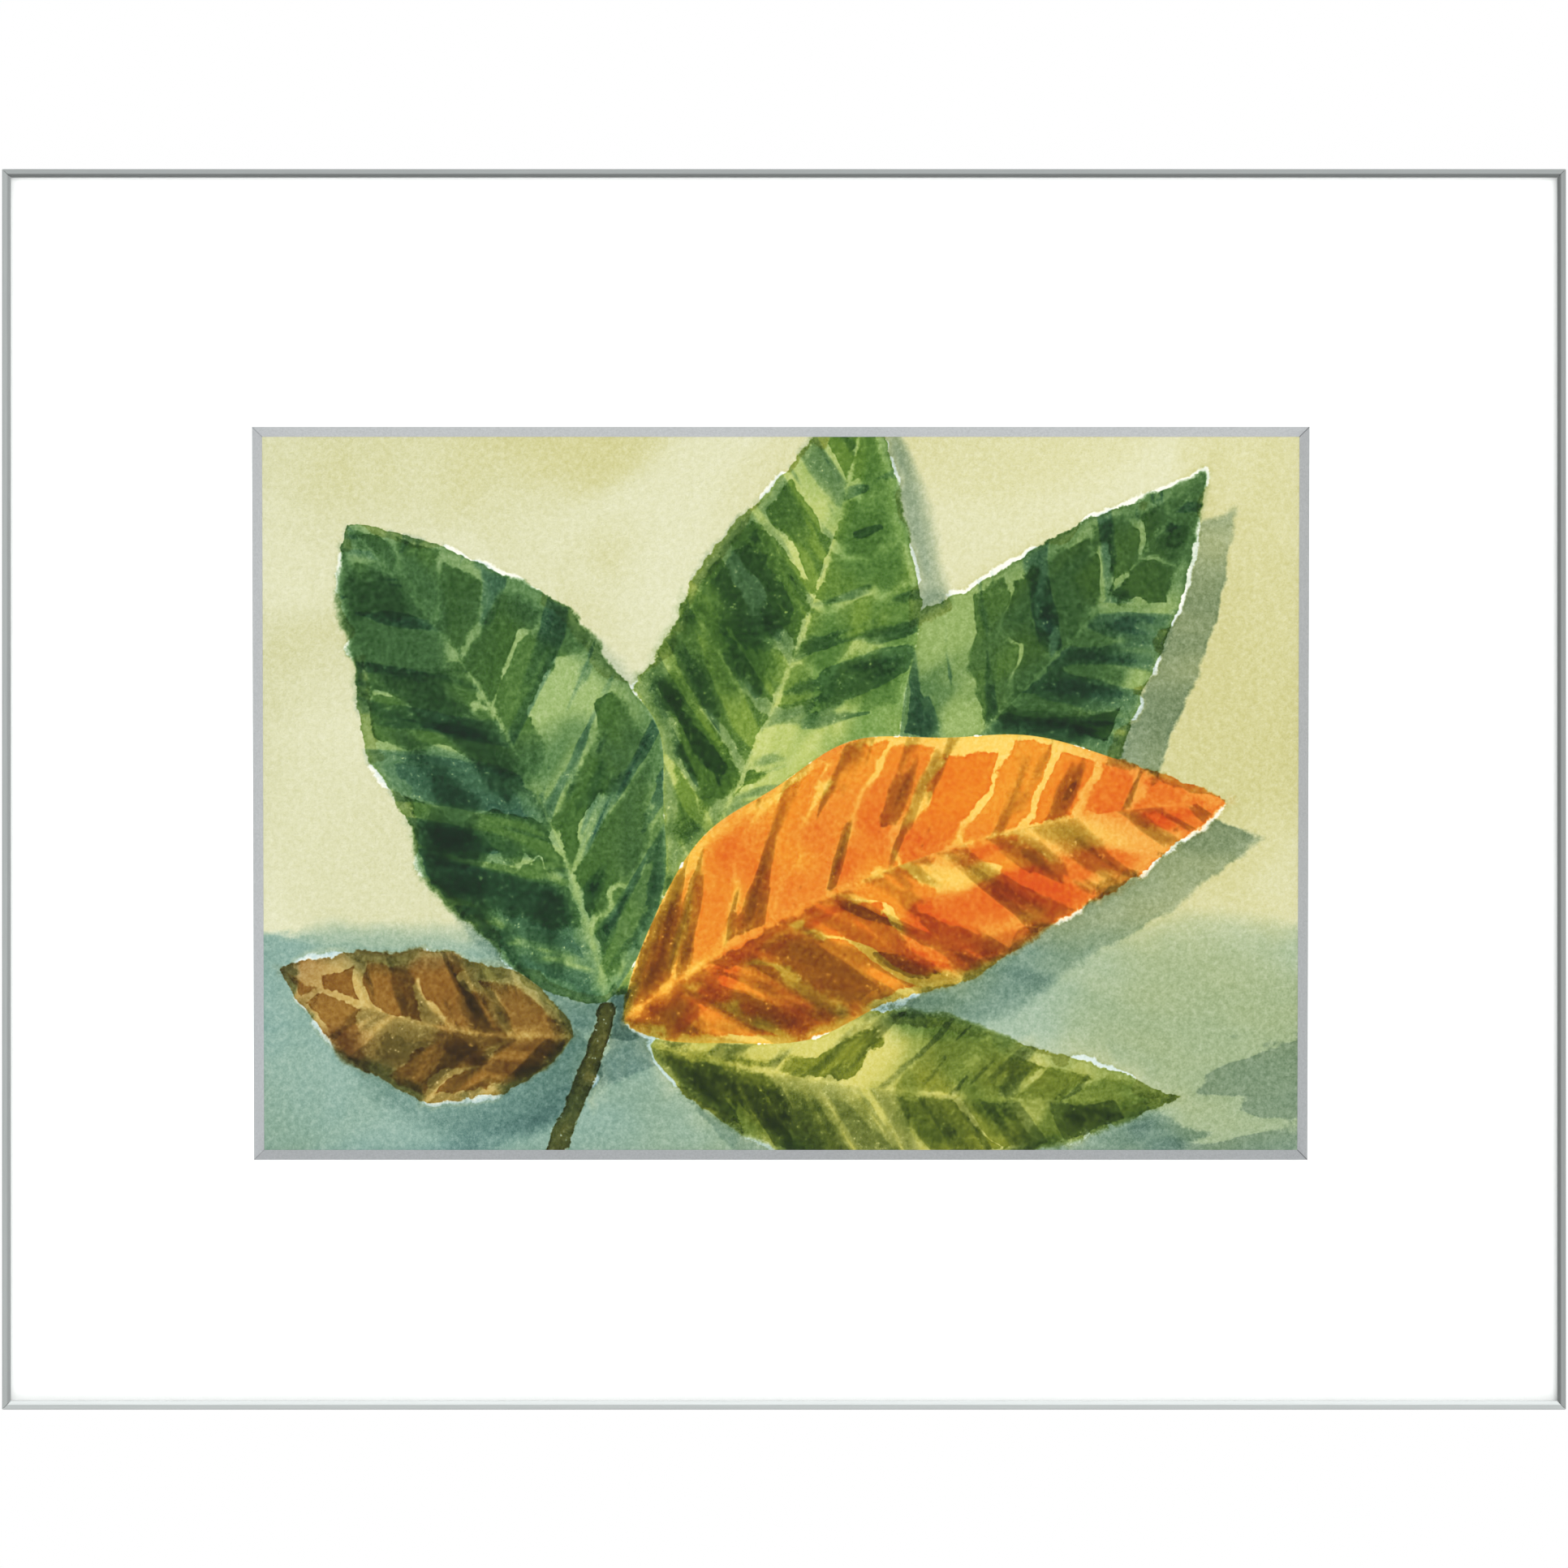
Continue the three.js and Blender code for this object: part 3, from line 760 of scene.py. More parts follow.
@dataclass(frozen=True)
class CutCore:
    """The bared core of the bevel, painted grey as shade, with the knife's overcuts down its corners."""

    centre: Vector
    half_foot: float
    half_top: float
    half_height: float
    name: str = "mat_core"
    # These greys are painted shade: they make the bevel's slopes darker than the face, as if less light
    # fell on them.
    dark: Colour = srgb(164, 166, 169)
    light: Colour = srgb(181, 183, 186)
    line: Colour = srgb(112, 114, 116)
    line_mm: float = 0.11
    left_strength: float = 0.45
    right_strength: float = 0.95
    felt_depth: float = 0.02 * MM

    def corner_lines(self, bench: Bench) -> bpy.types.NodeSocket:
        """Draws the overcuts, down the corners where two bevels meet.

        Args:
            bench: The material's bench.

        Returns:
            How strong the lines are, from 0 to 1.
        """
        x, _, z = bench.parts(bench.place_from(self.centre))
        flare = (self.half_top - self.half_foot) / (2 * self.half_height)
        half_width = bench.line(z, flare, (self.half_top + self.half_foot) / 2 / MM)
        beside = bench.minus(bench.size(x), half_width)
        above = bench.minus(bench.size(z), self.half_height / MM)
        off_corner = bench.size(bench.minus(beside, above))
        drawn = bench.remap(off_corner, self.line_mm * 2, self.line_mm * 0.6)
        return bench.product(drawn, bench.remap(x, -1.0, 1.0, self.left_strength, self.right_strength))

    def make(self) -> bpy.types.Material:
        """Builds the material.

        Returns:
            The material.
        """
        surface = Surface(self.name)
        bench = surface.bench
        _, felt, _ = bench.use(paper_fibre(), {"Place": bench.place_mm()})
        colour = bench.mix(self.corner_lines(bench), bench.mix(felt, self.dark, self.light), self.line)
        return surface.lay_on(matt_paper(bench, colour, felt), felt, self.felt_depth)


@dataclass(frozen=True)
class Hardboard:
    """Brown pressed fibre, smooth and slightly waxy, with darker and paler fibre bundles."""

    name: str = "tempered_hardboard"
    dark: Colour = srgb(96, 66, 43)
    light: Colour = srgb(139, 102, 70)
    straw: Colour = srgb(176, 140, 100)
    cloud_share: float = 0.14
    bundle_depth: float = 0.03 * MM

    def make(self) -> bpy.types.Material:
        """Builds the material.

        Returns:
            The material.
        """
        surface = Surface(self.name)
        bench = surface.bench
        place = bench.place_mm()
        cloud = bench.use(paper_fibre(), {"Place": place})[0]
        lengthwise = bench.scaled(place, (0.5, 1.0, 1.0))
        bundles = bench.noise(lengthwise, 1.1, detail=5.0, roughness=0.7, distortion=1.5)
        hairs = bench.noise(bench.scaled(place, (0.35, 1.0, 1.3)), 3.0, detail=2.0, distortion=2.5)
        tone = bench.stretch(bench.blend(bundles, cloud, self.cloud_share), 0.25, 0.75)
        plain = bench.mix(tone, self.dark, self.light)
        inputs = {
            "Base Color": bench.mix(bench.remap(hairs, 0.62, 0.7, 0.0, 0.6), plain, self.straw),
            "Roughness": bench.line(bundles, 0.25, 0.42),
            "Specular IOR Level": 0.35,
        }
        return surface.lay_on(inputs, bundles, self.bundle_depth)


@dataclass(frozen=True)
class Linen:
    """Gummed linen tape in a plain weave."""

    name: str = "linen_tape"
    thread: Colour = srgb(238, 233, 220)
    gap: Colour = srgb(205, 198, 180)
    threads_each_mm: float = 2.2
    thread_depth: float = 0.05 * MM

    def make(self) -> bpy.types.Material:
        """Builds the material.

        Returns:
            The material.
        """
        surface = Surface(self.name)
        bench = surface.bench
        x, _, z = bench.parts(bench.place_mm())
        turn = 2 * math.pi * self.threads_each_mm
        warp, weft = (bench.math("SINE", bench.product(way, turn)) for way in (x, z))
        weave = bench.line(bench.product(warp, weft), 0.5, 0.5)
        inputs = {
            "Base Color": bench.mix(weave, self.gap, self.thread),
            "Roughness": bench.line(weave, 0.1, 0.8),
        }
        return surface.lay_on(inputs, weave, self.thread_depth)


@dataclass(frozen=True)
class Rubber:
    """Moulded rubber with a matt bloom and a little dust."""

    name: str = "bumper_rubber"
    dark: Colour = srgb(44, 45, 48)
    dusty: Colour = srgb(92, 92, 92)
    dust_share: float = 0.4
    bloom_depth: float = 0.02 * MM

    def make(self) -> bpy.types.Material:
        """Builds the material.

        Returns:
            The material.
        """
        surface = Surface(self.name)
        bench = surface.bench
        _, felt, _ = bench.use(paper_fibre(), {"Place": bench.place_mm()})
        inputs = {
            "Base Color": bench.mix(bench.product(felt, self.dust_share), self.dark, self.dusty),
            "Roughness": bench.line(felt, 0.15, 0.62),
        }
        return surface.lay_on(inputs, felt, self.bloom_depth)


@dataclass(frozen=True)
class PictureGlass:
    """Clear low-reflection glass: what lies behind shows through, and a faint mirror lies over it."""

    name: str = "picture_glass"
    tint: Colour = (0.992, 0.996, 0.994, 1.0)
    shine: Colour = (0.9, 0.93, 0.92, 1.0)
    reflection: float = 0.3
    roughness: float = 0.03
    ior: float = 1.5

    def make(self) -> bpy.types.Material:
        """Builds the material.

        Returns:
            The material.
        """
        material = bpy.data.materials.new(self.name)
        material.use_nodes = True
        tree = material.node_tree
        tree.nodes.clear()
        bench = Bench(tree)
        mirror = bench.add("ShaderNodeBsdfGlossy", {"Color": self.shine, "Roughness": self.roughness})
        clear = bench.add("ShaderNodeBsdfTransparent", {"Color": self.tint})
        angle = bench.add("ShaderNodeFresnel", {"IOR": self.ior})
        share = bench.product(angle.outputs[0], self.reflection)
        both = bench.add("ShaderNodeMixShader", {0: share, 1: clear.outputs[0], 2: mirror.outputs[0]})
        bench.add("ShaderNodeOutputMaterial", {"Surface": both.outputs[0]})
        return material


# ----------------------------------------------------------------------------------------------
# The painting
# ----------------------------------------------------------------------------------------------


@dataclass(frozen=True)
class LeafPaints:
    """The pigments of one leaf, as white paper looks under each at full strength."""

    light: Colour
    warm: Colour
    mid: Colour
    dark: Colour


AUTUMN_ORANGE = LeafPaints(srgb(250, 206, 92), srgb(240, 156, 62), srgb(242, 184, 122), srgb(176, 166, 98))
DEEP_GREEN = LeafPaints(srgb(148, 176, 108), srgb(104, 142, 92), srgb(138, 168, 146), srgb(134, 170, 190))
FOREST_GREEN = LeafPaints(srgb(138, 166, 92), srgb(98, 134, 82), srgb(142, 172, 142), srgb(128, 164, 182))
SAGE_GREEN = LeafPaints(srgb(190, 202, 116), srgb(132, 166, 94), srgb(150, 178, 140), srgb(136, 168, 168))
SPRING_GREEN = LeafPaints(srgb(212, 204, 108), srgb(150, 166, 84), srgb(166, 180, 128), srgb(150, 166, 140))
OLIVE_BROWN = LeafPaints(srgb(200, 168, 92), srgb(168, 132, 76), srgb(178, 160, 122), srgb(150, 150, 120))


@dataclass(frozen=True)
class Leaf:
    """A painted leaf, laid out in millimetres from the middle of the sheet.

    The bow is how far the midrib's middle bends sideways, widest is the share of the length where
    the leaf is widest, and the shade side is 1 or -1. A point on the leaf is known by its distance
    along the midrib, its distance across it and its distance to the outline.
    """

    name: str
    base: tuple[float, float]
    tip: tuple[float, float]
    half_width: float
    bow: float
    widest: float
    paints: LeafPaints
    shade_side: int
    seed: float
    fullness: float = 0.72
    waves: float = 3.5
    wave_share: float = 0.045
    wave_shift: float = 1.3

    @property
    def length(self) -> float:
        """The straight length from base to tip."""
        return math.dist(self.base, self.tip)

    def width(self, share: np.ndarray, shifted: np.ndarray) -> np.ndarray:
        """Gives the distance from the midrib to the wavy outline.

        Args:
            share: Places along the midrib, from 0 at the base to 1 at the tip.
            shifted: Whether each point is on the half whose waves are shifted.

        Returns:
            One distance for each place.
        """
        taper = self.fullness * (1 - self.widest) / self.widest
        peak = self.widest**self.fullness * (1 - self.widest) ** taper
        smooth = self.half_width * share**self.fullness * (1 - share) ** taper / peak
        phase = 2 * math.pi * self.waves * share + self.seed + self.wave_shift * shifted
        return smooth * (1 + self.wave_share * np.sin(phase))

    def places(self, x: np.ndarray, z: np.ndarray) -> np.ndarray:
        """Finds where points lie on the leaf.

        Args:
            x: The points' places along the sheet's width.
            z: The points' heights.

        Returns:
            One row for each point: along, across towards the shade and the distance to the outline.
        """
        way_x, way_z = ((t - b) / self.length for t, b in zip(self.tip, self.base, strict=True))
        from_x, from_z = x - self.base[0], z - self.base[1]
        along = from_x * way_x + from_z * way_z
        share = along / self.length
        bowed = self.bow * 4 * share * (1 - share)
        across = from_z * way_x - from_x * way_z - bowed
        beside = np.abs(across) - self.width(np.clip(share, 0, 1), across > 0)
        past = np.maximum(np.maximum(-share, share - 1), 0) * self.length
        outside = np.hypot(np.maximum(beside, 0), past)
        return np.stack([along, across * self.shade_side, np.where(past > 0, outside, beside)], axis=1)


@dataclass(frozen=True)
class Spray:
    """Six leaves on one stem, from the front one back, in millimetres from the sheet's middle."""

    # For each leaf: name, base, tip, half width, bow, widest, paints, shade side and seed.
    leaves: tuple[Leaf, ...] = (
        Leaf("fan", (-36, -52), (104, -2), 30, 12, 0.42, AUTUMN_ORANGE, -1, 2.3),
        Leaf("wing", (-40, -48), (-100, 62), 31, -9, 0.45, DEEP_GREEN, 1, 11.7),
        Leaf("crown", (-38, -46), (20, 92), 31, -8, 0.44, SAGE_GREEN, 1, 23.1),
        Leaf("broad", (-34, -48), (98, 74), 33, -9, 0.42, FOREST_GREEN, -1, 31.9),
        Leaf("low", (-30, -58), (92, -70), 19, -5, 0.4, SPRING_GREEN, -1, 37.9),
        Leaf("small", (-48, -56), (-116, -40), 17, 5, 0.42, OLIVE_BROWN, 1, 41.3),
    )
    stem: tuple[tuple[float, float], ...] = ((-40, -50), (-42, -58), (-47, -70), (-56, -92))
    stem_radius: float = 2.1
    gap: float = -0.5
    shadow_shift: tuple[float, float] = (7.0, -8.5)

    def outline_of_all(self, x: np.ndarray, z: np.ndarray) -> np.ndarray:
        """Gives the distance to the nearest leaf's outline, negative inside one."""
        return np.min([leaf.places(x, z)[:, 2] for leaf in self.leaves], axis=0)

    def stem_outline(self, x: np.ndarray, z: np.ndarray) -> np.ndarray:
        """Gives the distance to the stem's side.

        Args:
            x: The points' places along the sheet's width.
            z: The points' heights.

        Returns:
            One distance for each point, negative inside the stem.
        """
        points = np.stack([x, z], axis=1)
        nearest = np.full(len(points), np.inf)
        for start, end in zip(self.stem, self.stem[1:], strict=False):
            a, b = np.array(start, float), np.array(end, float)
            share = np.clip((points - a) @ (b - a) / ((b - a) @ (b - a)), 0, 1)
            off = points - a - share[:, None] * (b - a)
            nearest = np.minimum(nearest, np.linalg.norm(off, axis=1))
        return nearest - self.stem_radius

    def outlines(self, x: np.ndarray, z: np.ndarray) -> dict[str, np.ndarray]:
        """Works out every distance that the painting's washes read.

        Args:
            x: The points' places along the sheet's width.
            z: The points' heights.

        Returns:
            One array for each attribute: three numbers a point for a leaf, and one for the rest.
        """
        found: dict[str, np.ndarray] = {}
        in_front = np.full(len(x), np.inf)
        for leaf in self.leaves:
            places = leaf.places(x, z)
            own = places[:, 2].copy()
            places[:, 2] = np.maximum(own, self.gap - in_front)
            in_front = np.minimum(in_front, own)
            found[f"leaf_{leaf.name}"] = places
        stem = self.stem_outline(x, z)
        covered = np.minimum(in_front, stem)
        shift_x, shift_z = self.shadow_shift
        cast = self.outline_of_all(x - shift_x, z - shift_z)
        found["stem"] = np.maximum(stem, self.gap - in_front)
        found["covered"] = covered
        found["shadow"] = np.maximum(cast, self.gap - covered)
        return found


@dataclass(frozen=True)
class GroundPaints:
    """The pigments around the leaves, as white paper looks under each at full strength."""

    cool: Colour = srgb(221, 221, 191)
    warm: Colour = srgb(219, 216, 172)
    table: Colour = srgb(166, 201, 220)
    pool: Colour = srgb(192, 204, 208)
    shadow: Colour = srgb(162, 184, 184)
    stem: Colour = srgb(140, 130, 70)


class GroundWashes:
    """The washes around the leaves: the warm ground, the table, its pools, a shadow and the stem."""

    table_edge: float = -36.0
    table_drift: float = 40.0
    pool_edge: float = -44.0
    pool_spread: float = 70.0
    side_reach: float = 110.0

    def __init__(self, bench: Bench, place: Input, wobble: Input, paints: GroundPaints) -> None:
        """Makes the patterns that the washes follow.

        Args:
            bench: The material's bench.
            place: The place in millimetres from the sheet's middle.
            wobble: The brush's wobble, from -1 to 1.
            paints: The pigments.
        """
        self.bench = bench
        self.paints = paints
        self.x, _, self.height = bench.parts(place)
        self.cloud = bench.noise(place, 0.016, detail=3.0, roughness=0.5, distortion=0.7)
        sideways = bench.scaled(place, (0.012, 1.0, 0.03))
        self.swept = bench.noise(sideways, 1.0, detail=3.0, roughness=0.5, distortion=0.6)
        drift = bench.product(bench.minus(self.swept, 0.5), self.table_drift)
        self.level = bench.total(self.height, -self.table_edge, drift)
        halo = bench.remap(bench.noise(place, 0.05, detail=2.0), 0.43, 0.58, -3.0, 1.1)
        outside = bench.product(bench.attribute("covered"), -1.0)
        self.around = bench.total(halo, bench.product(wobble, -1.4), outside)

    def patchy(self, low: float, high: float) -> bpy.types.NodeSocket:
        """Gives a softness that changes from one patch of the ground to the next."""
        return self.bench.remap(self.cloud, 0.4, 0.6, low, high)

    def ground(self) -> Wash:
        """Mixes the ground, warmer to the right and towards the top.

        Returns:
            The wash.
        """
        bench = self.bench
        warmth = bench.line(self.x, 0.0016, bench.line(self.height, 0.0014, self.cloud))
        return Wash(
            pigment=bench.mix(bench.remap(warmth, 0.4, 0.75), self.paints.cool, self.paints.warm),
            outline=self.around,
            density=bench.remap(self.cloud, 0.3, 0.7, 0.75, 1.25),
            softness=0.6,
            edge=0.35,
            edge_width=1.6,
        )

    def table(self) -> Wash:
        """Mixes the table, which fades to the right.

        Returns:
            The wash.
        """
        bench = self.bench
        fading = bench.remap(self.x, -self.side_reach, self.side_reach, 1.1, 0.55)
        return Wash(
            pigment=self.paints.table,
            outline=bench.largest(self.level, self.around),
            density=bench.product(bench.remap(self.swept, 0.3, 0.7, 0.9, 1.4), fading),
            softness=self.patchy(3.0, 16.0),
            edge=0.2,
            edge_width=2.0,
        )

    def pool(self) -> Wash:
        """Mixes the pools of a second wash on the table.

        Returns:
            The wash.
        """
        bench = self.bench
        pooled = bench.product(bench.minus(0.52, self.swept), self.pool_spread)
        below = bench.total(self.level, self.table_edge - self.pool_edge)
        outline = bench.largest(pooled, below, self.around)
        return Wash(self.paints.pool, outline, 0.8, self.patchy(9.0, 0.8), edge=0.3, edge_width=1.4)

    def shadow(self) -> Wash:
        """Mixes the shadow that the leaves cast.

        Returns:
            The wash.
        """
        outline = self.bench.largest(self.bench.attribute("shadow"), self.around)
        density = self.bench.remap(self.swept, 0.35, 0.65, 0.5, 1.3)
        return Wash(self.paints.shadow, outline, density, self.patchy(7.0, 1.2), edge=0.2, edge_width=1.5)

    def stem(self) -> Wash:
        """Mixes the stem.

        Returns:
            The wash.
        """
        return Wash(
            pigment=self.paints.stem,
            outline=self.bench.attribute("stem"),
            density=self.bench.remap(self.cloud, 0.35, 0.65, 0.9, 1.5),
            softness=0.4,
            edge=0.6,
            edge_width=0.8,
            ragged=0.5,
            dry=0.1,
        )


@dataclass(frozen=True)
class PaintedPaper:
    """Cold-pressed paper with the spray painted on it in transparent washes."""

    spray: Spray
    centre: Vector
    name: str = "watercolour_on_paper"
    paper: Colour = srgb(231, 230, 217)
    paints: GroundPaints = field(default_factory=GroundPaints)
    tooth_depth: float = 0.09 * MM

    def nearest_leaf(self, bench: Bench) -> Inputs:
        """Picks the leaf whose outline is nearest or lies around the point.

        Args:
            bench: The material's bench.

        Returns:
            That leaf's place, sizes and paints, as the leaf group's inputs.
        """
        found: Inputs = {}
        kinds = {"Place": Kind.VECTOR, "Length": Kind.NUMBER, "Seed": Kind.NUMBER}
        for leaf in self.spray.leaves:
            place = bench.attribute(f"leaf_{leaf.name}", "Vector")
            own: Inputs = {"Place": place, "Length": leaf.length, "Seed": leaf.seed}
            own |= {name.title(): paint for name, paint in vars(leaf.paints).items()}
            if not found:
                found = own
                continue
            own_outline, found_outline = (bench.parts(held["Place"])[2] for held in (own, found))
            nearer = bench.math("LESS_THAN", own_outline, found_outline)
            found = {
                name: bench.mix(nearer, found[name], own[name], kind=kinds.get(name, Kind.COLOUR))
                for name in found
            }
        return found

    def make(self) -> bpy.types.Material:
        """Builds the material.

        Returns:
            The material.
        """
        surface = Surface(self.name)
        bench = surface.bench
        place = bench.place_from(self.centre)
        tooth = bench.use(paper_tooth(), {"Place": place})[0]
        strayed = bench.stretch(bench.noise(place, 0.16, detail=3.0, roughness=0.6), *STEEP_SPREAD)
        wobble = bench.line(strayed, 2.0, -1.0)
        paper: Inputs = {"Tooth": tooth, "Wobble": wobble}
        washes = GroundWashes(bench, place, wobble, self.paints)
        seen: Input = self.paper
        for mixed in (washes.ground, washes.table, washes.pool, washes.shadow, washes.stem):
            seen = mixed().over(bench, seen, paper)
        leaves = bench.use(painted_leaf(), paper | self.nearest_leaf(bench) | {"Under": seen})
        inputs = {
            "Base Color": leaves[0],
            "Roughness": bench.line(tooth, 0.1, 0.85),
            "Specular IOR Level": 0.0,
        }
        return surface.lay_on(inputs, tooth, self.tooth_depth)


# ----------------------------------------------------------------------------------------------
# Making pieces
# ----------------------------------------------------------------------------------------------


def add_object(name: str, shape: bmesh.types.BMesh) -> bpy.types.Object:
    """Puts a shape into the scene.

    Args:
        name: The object's name.
        shape: The shape, in place. It is used up.

    Returns:
        The new object, at the origin.
    """
    mesh = bpy.data.meshes.new(name)
    shape.to_mesh(mesh)
    shape.free()
    held = bpy.data.objects.new(name, mesh)
    bpy.context.scene.collection.objects.link(held)
    return held


def add_piece(
    name: str,
    shape: bmesh.types.BMesh,
    materials: Sequence[bpy.types.Material],
    stands_for: str,
    smooth_below: float = 35.0,
) -> bpy.types.Object:
    """Turns a shape into a piece of the picture.

    Args:
        name: The piece's name.
        shape: The shape, in place. It is used up.
        materials: The materials that its faces' indices mean.
        stands_for: The CAD node that it replaces.
        smooth_below: Edges that turn by less than this many degrees look smooth.

    Returns:
        The new object.
    """
    piece = add_object(name, shape)
    mesh = piece.data
    for material in materials:
        mesh.materials.append(material)
    mesh.shade_smooth()
    mesh.set_sharp_from_angle(angle=math.radians(smooth_below))
    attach(piece, ROOT)
    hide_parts(stands_for)
    log.info("%s: %d faces, stands for %s", name, len(mesh.polygons), stands_for)
    return piece


def dress(names: Iterable[str], material: bpy.types.Material) -> None:
    """Gives carried-over CAD nodes a finish.

    Args:
        names: The nodes' names.
        material: The finish.
    """
    for name in names:
        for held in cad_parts[name].material_slots:
            held.material = material
        log.info("%s: dressed in %s", name, material.name)


def nodes_like(start: str) -> list[str]:
    """Lists the CAD nodes whose names start this way."""
    return sorted(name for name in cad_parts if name.startswith(start))


def span(name: str) -> tuple[Vector, Vector, Vector]:
    """Gives a CAD node's lowest corner, its size and its centre."""
    low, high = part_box(name)
    return low, high - low, (low + high) / 2


def only(items: Iterable[object], kind: type[Item]) -> list[Item]:
    """Picks the points, edges or faces out of what an operator gives back."""
    return [item for item in items if isinstance(item, kind)]


def move(shape: bmesh.types.BMesh, way: Sequence[float]) -> None:
    """Moves a whole shape."""
    bmesh.ops.translate(shape, verts=shape.verts, vec=way)


def turn(shape: bmesh.types.BMesh, angle: float, axis: str) -> None:
    """Turns a whole shape about an axis through the origin."""
    bmesh.ops.rotate(shape, verts=shape.verts, matrix=Matrix.Rotation(angle, 3, axis))


def outline_face(shape: bmesh.types.BMesh, points: Iterable[Sequence[float]]) -> bmesh.types.BMFace:
    """Adds one flat face through points given in order."""
    return shape.faces.new([shape.verts.new(point) for point in points])


def thicken(shape: bmesh.types.BMesh, face: bmesh.types.BMFace, way: Sequence[float]) -> None:
    """Pulls a face out into a closed solid.

    Args:
        shape: The bmesh that holds the face.
        face: The face.
        way: How far and which way it is pulled.
    """
    grown = bmesh.ops.extrude_face_region(shape, geom=[face])
    bmesh.ops.translate(shape, verts=only(grown["geom"], bmesh.types.BMVert), vec=way)
    bmesh.ops.recalc_face_normals(shape, faces=shape.faces)


def soften(
    shape: bmesh.types.BMesh, edges: Iterable[bmesh.types.BMEdge], radius: float, segments: int = 2
) -> None:
    """Rounds edges off.

    Args:
        shape: The bmesh that holds them.
        edges: The edges.
        radius: How far the rounding reaches.
        segments: Its number of steps.
    """
    bmesh.ops.bevel(
        shape,
        geom=list(edges),
        offset=radius,
        segments=segments,
        profile=0.5,
        affect="EDGES",
        material=-1,
        clamp_overlap=True,
    )


def cube(size: Sequence[float]) -> bmesh.types.BMesh:
    """Makes a sharp box about the origin.

    Args:
        size: Its size along each axis.

    Returns:
        The shape.
    """
    shape = bmesh.new()
    bmesh.ops.create_cube(shape, size=1.0)
    bmesh.ops.scale(shape, vec=size, verts=shape.verts)
    return shape


def softened_box(node: str, arris: float) -> bmesh.types.BMesh:
    """Makes a CAD node's box again, with slightly rounded edges.

    Args:
        node: The node's name.
        arris: The rounding's reach.

    Returns:
        The shape, in place.
    """
    _, size, centre = span(node)
    shape = cube(size)
    move(shape, centre)
    soften(shape, shape.edges, arris)
    return shape


def carved(shape: bmesh.types.BMesh, cutter: bmesh.types.BMesh) -> bmesh.types.BMesh:
    """Cuts one closed shape out of another.

    Args:
        shape: The shape to cut. It is used up.
        cutter: The shape to take away. It is used up.

    Returns:
        What is left.
    """
    body, tool = add_object("carved", shape), add_object("cutter", cutter)
    difference = body.modifiers.new("cut", "BOOLEAN")
    difference.operation = "DIFFERENCE"
    difference.solver = "EXACT"
    difference.object = tool
    left = bmesh.new()
    left.from_object(body, bpy.context.evaluated_depsgraph_get())
    for held in (body, tool):
        mesh = held.data
        bpy.data.objects.remove(held)
        bpy.data.meshes.remove(mesh)
    return left


class Side(Enum):
    """A side of the frame, by the turn about Y that brings a top side to it."""

    TOP = 0.0
    RIGHT = QUARTER_TURN
    BOTTOM = 2 * QUARTER_TURN
    LEFT = -QUARTER_TURN

    @property
    def label(self) -> str:
        """The side's name in the CAD nodes."""
        return self.name.lower()

    @property
    def is_level(self) -> bool:
        """Whether the side runs along the width."""
        return self in (Side.TOP, Side.BOTTOM)


@dataclass(frozen=True)
class Layout:
    """The frame's outer box, read from the four rails."""

    low: Vector
    high: Vector

    @classmethod
    def from_frame(cls) -> "Layout":
        """Reads the box from the CAD rails."""
        lows, highs = zip(*(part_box(f"rail_{side.label}") for side in Side), strict=True)
        return cls(Vector(map(min, *lows)), Vector(map(max, *highs)))

    @property
    def size(self) -> Vector:
        """The box's size."""
        return self.high - self.low

    @property
    def front_centre(self) -> Vector:
        """The middle of the frame's face."""
        return Vector(((self.low.x + self.high.x) / 2, self.low.y, (self.low.z + self.high.z) / 2))

    def length(self, side: Side) -> float:
        """Gives a side's length."""
        return self.size.x if side.is_level else self.size.z

    def to_side(self, side: Side) -> Matrix:
        """Gives the matrix that carries a shape laid out at the top to a side.

        Laid out at the top, X runs along the rail, Y is the depth from the face and Z = 0 is the
        rail's outer side.

        Args:
            side: The side.

        Returns:
            The matrix.
        """
        reach = (self.size.z if side.is_level else self.size.x) / 2
        turned = Matrix.Rotation(side.value, 4, "Y") @ Matrix.Translation((0, 0, reach))
        return Matrix.Translation(self.front_centre) @ turned


# ----------------------------------------------------------------------------------------------
# Sub-assemblies
# ----------------------------------------------------------------------------------------------


